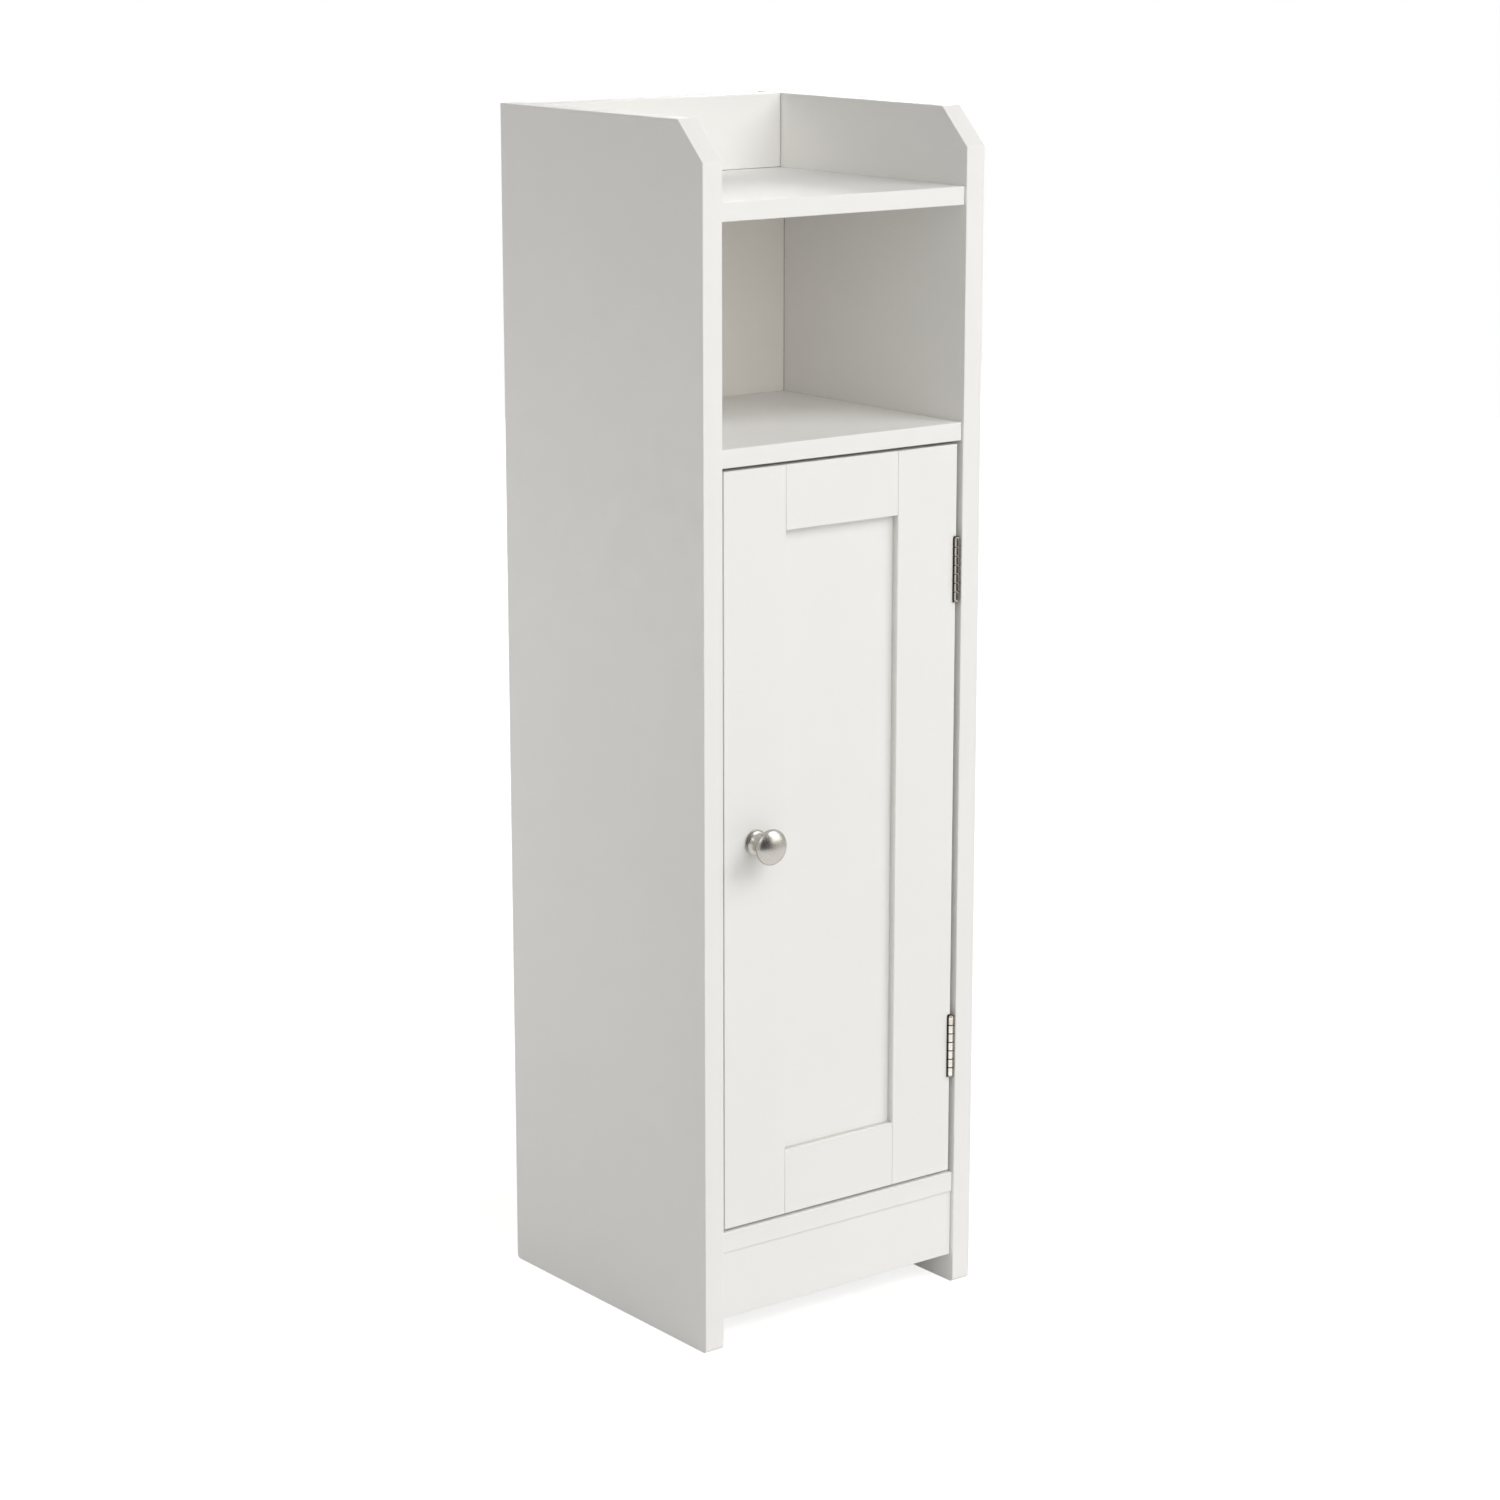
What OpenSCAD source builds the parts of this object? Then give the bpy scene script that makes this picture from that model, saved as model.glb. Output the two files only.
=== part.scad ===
// Narrow free-standing bathroom cabinet in white painted board.
// A tray with sloping cheeks tops an open compartment, and a framed door on
// two butt hinges closes the tall compartment below, which stands on a plinth.
// The left and right of every name are those of someone facing the door.
// +Z is up, -Y is the front, and the origin is at the middle of the floor area.

/* [Cabinet body] */
// Width over the two side panels
body_w = 227; // [215:1:300]
// Depth of the side panels, from their front edge to the wall
body_d = 221; // [214:1:300]
// Height of the side panels
body_h = 800; // [740:1:1000]
// Thickness of the side panels
side_t = 15; // [13:0.5:20]
// Depth of the sloping cut at the top front corner of a side panel
slope_d = 25.5; // [10:0.5:45]
// Height of that sloping cut
slope_h = 25; // [10:0.5:45]
// Radius of the bottom corners of a side panel
foot_r = 3; // [1:0.5:8]

/* [Shelves] */
// Thickness of the top, middle and inner shelves
shelf_t = 12; // [11:0.5:18]
// Thickness of the bottom panel
bottom_t = 14; // [12:0.5:18]
// How far the shelf fronts stay behind the side panels' front edges
shelf_setback = 1.6; // [0.5:0.1:4]
// Height of the side panels above the top shelf
tray_h = 50; // [46:1:80]
// Clear height of the open compartment
open_h = 141; // [110:1:200]
// Height of the inner shelf's underside above the bottom panel
inner_up = 236; // [190:1:280]
// Play between each end of the inner shelf and the side panel
inner_play = 1.6; // [1.4:0.1:3]
// Distance from the closed door's back to the inner shelf
inner_setback = 12; // [6:1:25]

/* [Plinth] */
// Height of the gap between the floor and the plinth
floor_gap = 20; // [5:1:40]
// Height of the plinth
plinth_h = 46; // [40:1:80]
// Thickness of the plinth
plinth_t = 12; // [11:0.5:18]
// How far the plinth stays behind the side panels' front edges
plinth_setback = 2.8; // [1:0.1:10]

/* [Backs] */
// Clear depth inside, from the side panels' front edge to the back panel
inside_d = 191; // [180:1:194]
// Thickness of the back panel
back_t = 3; // [2.5:0.1:4]
// Depth of the grooves that hold the back panel
groove_d = 5; // [3:0.5:6]
// Play of the back panel in its grooves
groove_play = 0.2; // [0.1:0.05:0.4]
// Thickness of the board behind the tray
tray_back_t = 15; // [11:0.5:16]
// Step from the back panel's front face back to the tray board's front face
tray_back_step = 4; // [3.5:0.1:6]

/* [Door] */
// Thickness of the door frame
door_t = 15; // [14.5:0.5:18]
// How far the door's face stays behind the side panels' front edges
door_setback = 2.4; // [2:0.1:4]
// Gap beside the door on the knob side
knob_side_gap = 2.6; // [1.5:0.1:4]
// Gap above the door
top_gap = 2.2; // [1.5:0.1:3]
// Gap below the door
bottom_gap = 2; // [1.5:0.1:4]
// Width of the two upright frame members
stile_w = 49.5; // [46:0.5:60]
// Height of the frame member across the top
top_rail_h = 42; // [30:1:70]
// Height of the frame member across the bottom
bottom_rail_h = 44; // [30:1:70]
// Thickness of the door's inner panel
panel_t = 6; // [4:0.5:6.5]
// Depth of the inner panel's face behind the frame's face
panel_recess = 5.5; // [3:0.1:6]
// Length of the tongues in the frame's grooves
tongue_l = 7.5; // [5:0.5:9]
// Free depth behind each tongue
tongue_play = 0.5; // [0.2:0.1:1]
// Width of the fine line between an upright and a cross member
joint_line = 0.2; // [0.1:0.05:0.4]

/* [Hinges] */
// Height of a hinge
hinge_h = 42; // [34:1:60]
// Number of knuckles in a hinge
knuckles = 7; // [5:2:9]
// Thickness of a leaf
leaf_t = 1.2; // [1:0.1:1.5]
// Width of a leaf, from the pin's axis to its edge
leaf_w = 15; // [13:0.5:15]
// Gap between the folded leaves
leaf_gap = 0.8; // [0.5:0.1:1.2]
// Diameter of the pin
pin_d = 2.8; // [2.4:0.1:3]
// Play around the pin
pin_play = 0.05; // [0.02:0.01:0.1]
// Gap between neighbouring knuckles
knuckle_gap = 0.25; // [0.15:0.05:0.4]
// Space kept around the knuckles
barrel_gap = 0.35; // [0.3:0.05:0.6]
// How far the pin's axis stands in front of the door's face
axis_proud = 0.5; // [0.3:0.1:1.4]
// Diameter of the pin's domed ends
pin_head_d = 4.6; // [4:0.1:4.8]
// Height of the pin's domed ends
pin_head_h = 0.9; // [0.5:0.1:1.5]
// Distance from the door's top to the middle of the upper hinge
hinge_top_in = 83; // [55:1:120]
// Distance from the door's bottom to the middle of the lower hinge
hinge_bottom_in = 89; // [55:1:120]
// Height between the two screws in a leaf
leaf_screw_span = 24; // [18:1:26]
// Distance from the pin's axis to the leaf screws
leaf_screw_in = 9; // [7.5:0.5:10]

/* [Knob] */
// Diameter of the knob's head
knob_d = 23.7; // [18:0.1:32]
// Distance from the door's face to the front of the knob
knob_reach = 22; // [20:0.5:28]
// Depth of the head's front dome
knob_dome = 4.9; // [3:0.1:7]
// Depth of the head's rounded underside
knob_under = 4.3; // [3:0.1:6]
// Diameter of the knob's foot on the door
knob_foot_d = 16.8; // [13:0.1:22]
// Height of the straight rim of the foot
knob_rim_h = 1.3; // [0.8:0.1:2]
// Width of the flat shoulder behind the foot's rim
knob_shoulder = 0.7; // [0.3:0.1:1.2]
// Height of the hollow curve from the foot to the neck
knob_cove_h = 6.6; // [4:0.1:8]
// Diameter of the neck
knob_neck_d = 8; // [7:0.1:10]
// Height of the knob's axis above the door's bottom
knob_up = 258.5; // [120:0.5:330]

/* [Screws] */
// Shank diameter of the hinge and catch screws
screw_d = 3; // [2.5:0.1:3.2]
// Length of the hinge screws
screw_l = 11; // [8:0.5:12]
// Head diameter of the countersunk screws
screw_head_d = 5.2; // [4.8:0.1:5.4]
// Diameter of the knob screw
knob_screw_d = 4; // [3.5:0.1:4.5]
// Length of the knob screw inside the knob
knob_screw_in = 7; // [5:0.5:9]
// Head diameter of the knob screw
knob_head_d = 8; // [7:0.5:9]
// Head height of the knob screw
knob_head_h = 2.6; // [2:0.1:3.2]

/* [Magnetic catch] */
// Distance from the left side panel to the middle of the catch
catch_in = 30; // [28:1:36]
// Width of the catch between its ears
catch_w = 24; // [22:1:26]
// Depth of the catch
catch_d = 14; // [13:0.5:18]
// Height of the catch below the middle shelf
catch_h = 16; // [15:0.5:20]
// Width of each ear of the catch
ear_w = 9; // [8:0.5:11]
// Thickness of the ears
ear_t = 3; // [2.5:0.1:4]
// Length of the catch screws
catch_screw_l = 10.5; // [8:0.5:12]
// Head diameter of the catch screws
pan_head_d = 5.6; // [5:0.1:6]
// Head height of the catch screws
pan_head_h = 2; // [1.6:0.1:2.6]
// Width of the magnet
magnet_w = 19; // [16:0.5:20]
// Thickness of the magnet
magnet_t = 5; // [4:0.1:6]
// Depth of the magnet
magnet_d = 8; // [6:0.5:9]
// Thickness of each steel pole plate
pole_t = 1.5; // [1:0.1:1.8]
// Depth of the pole plates
pole_d = 10; // [9.5:0.1:10.4]
// How far the pole plates stand in front of the catch
pole_proud = 0.6; // [0.4:0.1:1.2]
// Gap between the pole plates and the strike plate
strike_gap = 0.3; // [0.3:0.05:0.6]
// Width of the strike plate
strike_w = 20; // [16:0.5:24]
// Height of the strike plate
strike_h = 9; // [8:0.5:10]
// Thickness of the strike plate
strike_t = 1.2; // [1.1:0.1:1.5]
// Length of the strike plate's screw
strike_screw_l = 9; // [7:0.5:11]

/* [Board fittings] */
// Diameter of the cam locks
cam_d = 12; // [11:0.5:15]
// Distance from a board's end to the middle of a cam lock
cam_reach = 24; // [20:1:34]
// Height of a cam lock above its bolt's axis
cam_over = 3.4; // [3.3:0.1:3.6]
// Depth of a cam lock below its bolt's axis
cam_under = 5.3; // [4.9:0.1:5.4]
// Length of the crossed drive slots in a cam lock
drive_l = 8; // [5:0.5:9]
// Width of the drive slots
drive_w = 1.3; // [1:0.1:2]
// Depth of the drive slots
drive_d = 1; // [0.5:0.1:1.2]
// Play between a cam lock's cheeks and its bolt's head
cheek_play = 0.35; // [0.2:0.05:0.5]
// Distance from the side panels' front edge to the front cam locks
cam_front_in = 47; // [44:1:60]
// Distance from the side panels' front edge to the rear cam locks
cam_rear_in = 156; // [140:1:160]
// Diameter of a cam bolt's thread
bolt_d = 5; // [4.5:0.1:5.5]
// Diameter of a cam bolt's neck
bolt_neck_d = 4; // [3.5:0.1:4.4]
// Diameter of a cam bolt's head
bolt_head_d = 6.2; // [5.8:0.1:6.4]
// Length of a cam bolt's head
bolt_head_l = 4; // [3:0.1:5]
// Length of a cam bolt in the side panel
bolt_set = 10; // [8:0.5:11]
// Diameter of the wooden dowels
dowel_d = 6; // [5:0.5:7]
// Length of a dowel in the side panel
dowel_set = 10; // [8:0.5:11]
// Length of a dowel in a board's end
dowel_in = 14; // [10:0.5:18]
// Distance from the side panels' front edge to the shelves' dowels
dowel_mid_in = 101; // [80:1:120]
// Height between the two dowels in the plinth or tray board
dowel_span = 20; // [16:1:24]
// Diameter of the shelf pins
peg_d = 5; // [4.5:0.1:5.5]
// Length of a shelf pin in the side panel
peg_set = 8; // [6:0.5:10]
// Length of a shelf pin under the shelf
peg_out = 9; // [7:0.5:12]
// Diameter of a shelf pin's collar
peg_collar_d = 7.2; // [6.5:0.1:9]
// Thickness of a shelf pin's collar
peg_collar_t = 1.2; // [0.8:0.1:1.3]
// Distance from the side panels' front edge to the front shelf pins
peg_front_in = 55; // [45:1:70]
// Distance from the side panels' front edge to the rear shelf pins
peg_rear_in = 160; // [140:1:168]
// Height between neighbouring rows of shelf pin holes
peg_pitch = 32; // [25:1:40]
// Diameter of the back panel's nails
nail_d = 1.4; // [1:0.1:1.8]
// Length of the nails
nail_l = 18; // [14:0.5:22]
// Head diameter of the nails
nail_head_d = 3.4; // [2.6:0.1:4]
// Head height of the nails
nail_head_h = 0.7; // [0.5:0.1:1]
// Distance from the side panels to the outer nails
nail_in = 22; // [15:1:30]
// Number of nails along each board
nails_across = 4; // [3:1:6]
// Play around a fitting in its hole
fit_play = 0.1; // [0.05:0.05:0.2]
// Free depth behind the end of a fitting
end_play = 0.5; // [0.3:0.1:1]

/* [Hidden] */
$fn = 48;
// Overrun of a cut past the face that it opens
cut = 1;
// Steps along each curved stretch of the knob's outline
curve_steps = 14;
// Steps along the round of a bottom corner
foot_steps = 8;
// Rows of shelf pin holes
peg_rows = 3;

white = [0.92, 0.92, 0.91];
hardboard = [0.62, 0.47, 0.33];
nickel = [0.72, 0.71, 0.68];
zinc = [0.7, 0.71, 0.72];
beech = [0.8, 0.65, 0.46];
ferrite = [0.16, 0.16, 0.17];

// Distance that the knob stands in front of the side panels
knob_stand = knob_reach - door_setback;
// Front and back edges of the side panels, with the knob's front and the
// back edges as far from the origin as each other
front = (knob_stand - body_d) / 2;
back = front + body_d;
left_out = -body_w / 2;
left_in = left_out + side_t;
right_in = -left_in;

// Heights of the boards' undersides
base_z = floor_gap + plinth_h;
top_z = body_h - tray_h - shelf_t;
mid_z = top_z - open_h - shelf_t;
base_top = base_z + bottom_t;
inner_z = base_top + inner_up;
tray_z = top_z + shelf_t;

// Depths of the boards
shelf_y = front + shelf_setback;
back_y = front + inside_d;
back_y1 = back_y + back_t;
tray_back_y = back_y + tray_back_step;
tray_back_y1 = tray_back_y + tray_back_t;
plinth_y = front + plinth_setback;

// The door's outline, and the middle of the gap on its hinge side
hinge_gap = 2 * leaf_t + leaf_gap;
door_x0 = left_in + knob_side_gap;
door_x1 = right_in - hinge_gap;
door_y0 = front + door_setback;
door_y1 = door_y0 + door_t;
door_z0 = base_top + bottom_gap;
door_z1 = mid_z - top_gap;
panel_x0 = door_x0 + stile_w;
panel_x1 = door_x1 - stile_w;
panel_y = door_y0 + panel_recess;
panel_z0 = door_z0 + bottom_rail_h;
panel_z1 = door_z1 - top_rail_h;
inner_y = door_y1 + inner_setback;

// The hinge pins' common axis
bore_r = pin_d / 2 + pin_play;
barrel_r = bore_r + leaf_t;
clear_r = barrel_r + barrel_gap;
axis_x = right_in - clear_r;
axis_y = door_y0 - axis_proud;
hinge_zs = [door_z1 - hinge_top_in, door_z0 + hinge_bottom_in];
knuckle_l = hinge_h / knuckles;

// The knob and its screw
knob_x = door_x0 + stile_w / 2;
knob_z = door_z0 + knob_up;

// The catch and its strike plate
catch_x = left_in + catch_in;
catch_z = mid_z - catch_h / 2;
strike_y1 = door_y1 + strike_t;
pole_y = strike_y1 + strike_gap;
catch_y = pole_y + pole_proud;
ear_x = (catch_w + ear_w) / 2;
pocket_w = magnet_w + 2 * fit_play;
pocket_h = magnet_t + 2 * pole_t + 2 * fit_play;

// Middles of the three fixed boards, and the places of their fittings
board_zs = [base_z + bottom_t / 2, mid_z + shelf_t / 2, top_z + shelf_t / 2];
cam_ys = [front + cam_front_in, front + cam_rear_in];
dowel_y = front + dowel_mid_in;
plinth_dowels = [for (s = [-1, 1])
    [plinth_y + plinth_t / 2, floor_gap + (plinth_h + s * dowel_span) / 2]];
tray_dowels = [for (s = [-1, 1])
    [tray_back_y + tray_back_t / 2, tray_z + (tray_h + s * dowel_span) / 2]];
board_dowels = [for (z = board_zs) [dowel_y, z]];
peg_ys = [front + peg_front_in, front + peg_rear_in];
peg_z = inner_z - peg_d / 2;
peg_hole_zs = [for (i = [0 : peg_rows - 1]) peg_z + (i - (peg_rows - 1) / 2) * peg_pitch];
nail_step = (2 * right_in - 2 * nail_in) / (nails_across - 1);
nail_xs = [for (i = [0 : nails_across - 1]) left_in + nail_in + i * nail_step];
nail_zs = [base_z + bottom_t / 2, mid_z + shelf_t / 2];

// A board between two corners
module board(lo, hi) {
    translate(lo)
        cube(hi - lo);
}

// Round bars that start at a place and run along +X, +Y or +Z
module bar_x(place, r, l) {
    translate(place)
        rotate([0, 90, 0])
            cylinder(r = r, h = l);
}

module bar_y(place, r, l) {
    translate(place)
        rotate([-90, 0, 0])
            cylinder(r = r, h = l);
}

module bar_z(place, r, l) {
    translate(place)
        cylinder(r = r, h = l);
}

// The same fittings on the right and, mirrored, on the left
module both_sides() {
    children();
    mirror([1, 0, 0])
        children();
}

// Points of a quarter of an ellipse from angle a0 to a1
function arc(c, rx, ry, a0, a1, n) = [for (i = [0 : n])
    let (a = a0 + (a1 - a0) * i / n) [c[0] + rx * cos(a), c[1] + ry * sin(a)]];

// A side panel's outline from the side: depth, then height
function side_outline() = concat(
    arc([front + foot_r, foot_r], foot_r, foot_r, 180, 270, foot_steps),
    arc([back - foot_r, foot_r], foot_r, foot_r, 270, 360, foot_steps),
    [[back, body_h], [front + slope_d, body_h], [front, body_h - slope_h]]);

// The right side panel, drilled and grooved on its inner face
module side_board() {
    difference() {
        translate([right_in, 0, 0])
            rotate([90, 0, 90])
                linear_extrude(side_t)
                    polygon(side_outline());
        board([right_in - cut, back_y, -cut],
            [right_in + groove_d, back_y1 + groove_play, top_z + groove_d]);
        for (z = board_zs, y = cam_ys)
            bar_x([right_in - cut, y, z], bolt_d / 2 + fit_play, bolt_set + end_play + cut);
        for (p = concat(board_dowels, plinth_dowels, tray_dowels))
            bar_x([right_in - cut, p[0], p[1]], dowel_d / 2 + fit_play, dowel_set + end_play + cut);
        for (z = peg_hole_zs, y = peg_ys)
            bar_x([right_in - cut, y, z], peg_d / 2 + fit_play, peg_set + end_play + cut);
    }
}

module side_panel_left() {
    color(white)
        mirror([1, 0, 0])
            side_board();
}

module side_panel_right() {
    color(white)
        difference() {
            side_board();
            for (z = hinge_zs, s = [-1, 1])
                bar_x([right_in - cut, axis_y + leaf_screw_in, z + s * leaf_screw_span / 2],
                    screw_d / 2 + fit_play, screw_l - leaf_t + end_play + cut);
        }
}

// What is bored into a fixed board's ends for its bolts, cam locks and dowels
module end_bores(z, under) {
    bore_in = cam_reach + bolt_head_l / 2 + end_play;
    both_sides() {
        for (y = cam_ys) {
            bar_x([right_in - bore_in, y, z], bolt_head_d / 2 + fit_play, bore_in + cut);
            bar_z([right_in - cam_reach, y, under - cut],
                cam_d / 2 + fit_play, z + cam_over + fit_play - under + cut);
        }
        bar_x([right_in - dowel_in - end_play, dowel_y, z],
            dowel_d / 2 + fit_play, dowel_in + end_play + cut);
    }
}

// Nail holes in the rear edge of a board whose middle is at height z
module edge_nail_holes(z) {
    for (x = nail_xs)
        bar_y([x, back_y1 - nail_l - end_play, z], nail_d / 2 + fit_play, nail_l + end_play + cut);
}

module top_shelf() {
    color(white)
        difference() {
            board([left_in, shelf_y, top_z], [right_in, tray_back_y1, tray_z]);
            board([left_in - cut, back_y, top_z - cut],
                [right_in + cut, back_y1 + groove_play, top_z + groove_d]);
            end_bores(board_zs[2], top_z);
        }
}

module middle_shelf() {
    color(white)
        difference() {
            board([left_in, shelf_y, mid_z], [right_in, back_y, mid_z + shelf_t]);
            end_bores(board_zs[1], mid_z);
            edge_nail_holes(nail_zs[1]);
            for (s = [-1, 1])
                bar_z([catch_x + s * ear_x, catch_y + catch_d / 2, mid_z - cut],
                    screw_d / 2 + fit_play, catch_screw_l - ear_t + end_play + cut);
        }
}

module bottom_panel() {
    color(white)
        difference() {
            board([left_in, shelf_y, base_z], [right_in, back_y, base_top]);
            end_bores(board_zs[0], base_z);
            edge_nail_holes(nail_zs[0]);
        }
}

module inner_shelf() {
    color(white)
        board([left_in + inner_play, inner_y, inner_z],
            [right_in - inner_play, back_y - groove_play, inner_z + shelf_t]);
}

// A board that stands between the side panels on two dowels at each end
module upright_board(lo, hi, dowels) {
    difference() {
        board(lo, hi);
        both_sides()
            for (p = dowels)
                bar_x([right_in - dowel_in - end_play, p[0], p[1]],
                    dowel_d / 2 + fit_play, dowel_in + end_play + cut);
    }
}

module plinth() {
    color(white)
        upright_board([left_in, plinth_y, floor_gap],
            [right_in, plinth_y + plinth_t, base_z], plinth_dowels);
}

module tray_back() {
    color(white)
        upright_board([left_in, tray_back_y, tray_z],
            [right_in, tray_back_y1, body_h], tray_dowels);
}

module back_panel() {
    reach = groove_d - end_play;
    color(hardboard)
        difference() {
            board([left_in - reach, back_y, base_z], [right_in + reach, back_y1, top_z + reach]);
            for (x = nail_xs, z = nail_zs)
                bar_y([x, back_y - cut, z], nail_d / 2 + fit_play, back_t + 2 * cut);
        }
}

// Pins that carry the inner shelf
module shelf_pins() {
    color(zinc)
        both_sides()
            for (y = peg_ys) {
                bar_x([right_in - peg_out, y, peg_z], peg_d / 2, peg_out + peg_set);
                bar_x([right_in - peg_collar_t, y, peg_z], peg_collar_d / 2, peg_collar_t);
            }
}

// Bolts that stand in the side panels and reach into the cam locks
module cam_bolts() {
    neck_l = cam_reach - bolt_head_l / 2;
    color(zinc)
        both_sides()
            for (z = board_zs, y = cam_ys) {
                bar_x([right_in, y, z], bolt_d / 2, bolt_set);
                bar_x([right_in - neck_l, y, z], bolt_neck_d / 2, neck_l);
                bar_x([right_in - neck_l - bolt_head_l, y, z], bolt_head_d / 2, bolt_head_l);
            }
}

// One cam lock with its bolt's axis at the origin and the side panel towards +X
module cam_lock() {
    half_slot = bolt_head_d / 2 + cheek_play;
    rear = bolt_head_l / 2 + cheek_play;
    difference() {
        bar_z([0, 0, -cam_under], cam_d / 2, cam_under + cam_over);
        board([-rear, -half_slot, -half_slot], [cam_d, half_slot, cam_over + cut]);
        for (turn = [0, 90])
            rotate([0, 0, turn])
                board([-drive_l / 2, -drive_w / 2, -cam_under - cut],
                    [drive_l / 2, drive_w / 2, drive_d - cam_under]);
    }
}

module cam_locks() {
    color(zinc)
        both_sides()
            for (z = board_zs, y = cam_ys)
                translate([right_in - cam_reach, y, z])
                    cam_lock();
}

module dowels() {
    color(beech)
        both_sides()
            for (p = concat(board_dowels, plinth_dowels, tray_dowels))
                bar_x([right_in - dowel_in, p[0], p[1]], dowel_d / 2, dowel_in + dowel_set);
}

module back_nails() {
    color(zinc)
        for (x = nail_xs, z = nail_zs) {
            bar_y([x, back_y1 - nail_l, z], nail_d / 2, nail_l);
            bar_y([x, back_y1, z], nail_head_d / 2, nail_head_h);
        }
}

// One upright of the door frame, grooved along the edge towards the panel
module stile(x0, x1, groove_x0, groove_x1) {
    difference() {
        board([x0, door_y0, door_z0], [x1, door_y1, door_z1]);
        board([groove_x0, panel_y, door_z0 - cut], [groove_x1, panel_y + panel_t, door_z1 + cut]);
    }
}

module door_stile_left() {
    color(white)
        difference() {
            stile(door_x0, panel_x0, panel_x0 - tongue_l - tongue_play, panel_x0 + cut);
            bar_y([knob_x, door_y0 - cut, knob_z], knob_screw_d / 2 + fit_play, door_t + 2 * cut);
            bar_y([catch_x, strike_y1 - strike_screw_l - end_play, catch_z],
                screw_d / 2 + fit_play, strike_screw_l + end_play + cut);
        }
}

// The hinge side upright, hollowed at the corner where the knuckles turn
module door_stile_right() {
    color(white)
        difference() {
            stile(panel_x1, door_x1, panel_x1 - cut, panel_x1 + tongue_l + tongue_play);
            for (z = hinge_zs) {
                bar_z([axis_x, axis_y, z - hinge_h / 2 - pin_head_h - barrel_gap],
                    clear_r, hinge_h + 2 * (pin_head_h + barrel_gap));
                for (s = [-1, 1])
                    bar_x([door_x1 + leaf_t - screw_l - end_play, axis_y + leaf_screw_in,
                        z + s * leaf_screw_span / 2],
                        screw_d / 2 + fit_play, screw_l + end_play + cut);
            }
        }
}

// A cross member with a tongue at each end and a groove towards the panel
module rail(z0, z1, groove_z0, groove_z1) {
    difference() {
        union() {
            board([panel_x0 + joint_line, door_y0, z0], [panel_x1 - joint_line, door_y1, z1]);
            board([panel_x0 - tongue_l, panel_y, z0],
                [panel_x1 + tongue_l, panel_y + panel_t, z1]);
        }
        board([panel_x0 - tongue_l - cut, panel_y, groove_z0],
            [panel_x1 + tongue_l + cut, panel_y + panel_t, groove_z1]);
    }
}

module door_rail_top() {
    color(white)
        rail(panel_z1, door_z1, panel_z1 - cut, panel_z1 + tongue_l + tongue_play);
}

module door_rail_bottom() {
    color(white)
        rail(door_z0, panel_z0, panel_z0 - tongue_l - tongue_play, panel_z0 + cut);
}

module door_panel() {
    color(white)
        board([panel_x0 - tongue_l, panel_y, panel_z0 - tongue_l],
            [panel_x1 + tongue_l, panel_y + panel_t, panel_z1 + tongue_l]);
}

// The knob's outline: distance from its axis, then from the door's face
function knob_outline() =
    let (rim_r = knob_foot_d / 2,
        neck_r = knob_neck_d / 2,
        head_r = knob_d / 2,
        cove_top = knob_rim_h + knob_cove_h,
        widest = knob_reach - knob_dome)
    concat(
        [[0, 0], [rim_r, 0], [rim_r, knob_rim_h]],
        arc([rim_r - knob_shoulder, cove_top], rim_r - knob_shoulder - neck_r, knob_cove_h,
            270, 180, curve_steps),
        arc([neck_r, widest], head_r - neck_r, knob_under, 270, 360, curve_steps),
        arc([0, widest], head_r, knob_dome, 90 / curve_steps, 90, curve_steps));

module knob() {
    color(nickel)
        difference() {
            translate([knob_x, door_y0, knob_z])
                rotate([90, 0, 0])
                    rotate_extrude()
                        polygon(knob_outline());
            bar_y([knob_x, door_y0 - knob_screw_in - end_play, knob_z],
                knob_screw_d / 2 + fit_play, knob_screw_in + end_play + cut);
        }
}

// Machine screw through the left upright into the knob
module knob_screw() {
    color(zinc) {
        bar_y([knob_x, door_y0 - knob_screw_in, knob_z],
            knob_screw_d / 2, knob_screw_in + door_t);
        bar_y([knob_x, door_y1, knob_z], knob_head_d / 2, knob_head_h);
    }
}

// Countersunk screw head and shank that start at the origin and run along +X
module sunk_screw(l) {
    head_l = (screw_head_d - screw_d) / 2;
    rotate([0, 90, 0]) {
        cylinder(r1 = screw_head_d / 2, r2 = screw_d / 2, h = head_l);
        cylinder(r = screw_d / 2, h = l);
    }
}

// The hole that a countersunk screw leaves in a leaf or plate of a thickness
module sunk_hole(thick) {
    head_l = (screw_head_d - screw_d) / 2;
    rotate([0, 90, 0]) {
        cylinder(r1 = screw_head_d / 2 + fit_play, r2 = screw_d / 2 + fit_play, h = head_l);
        translate([0, 0, -cut])
            cylinder(r = screw_d / 2 + fit_play, h = thick + 2 * cut);
    }
}

// One leaf from plate_x to its face plate_x + leaf_t, measured from the pin's
// axis, with every second knuckle from the one numbered first
module hinge_leaf(plate_x, tab_y, first, screw_face, screw_turn) {
    difference() {
        union() {
            board([plate_x, clear_r, -hinge_h / 2], [plate_x + leaf_t, leaf_w, hinge_h / 2]);
            for (i = [first : 2 : knuckles - 1])
                translate([0, 0, (i - knuckles / 2) * knuckle_l + knuckle_gap / 2]) {
                    bar_z([0, 0, 0], barrel_r, knuckle_l - knuckle_gap);
                    board([plate_x, tab_y, 0], [plate_x + leaf_t, leaf_w, knuckle_l - knuckle_gap]);
                }
        }
        bar_z([0, 0, -hinge_h / 2 - cut], bore_r, hinge_h + 2 * cut);
        for (s = [-1, 1])
            translate([screw_face, leaf_screw_in, s * leaf_screw_span / 2])
                rotate([0, 0, screw_turn])
                    sunk_hole(leaf_t);
    }
}

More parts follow.
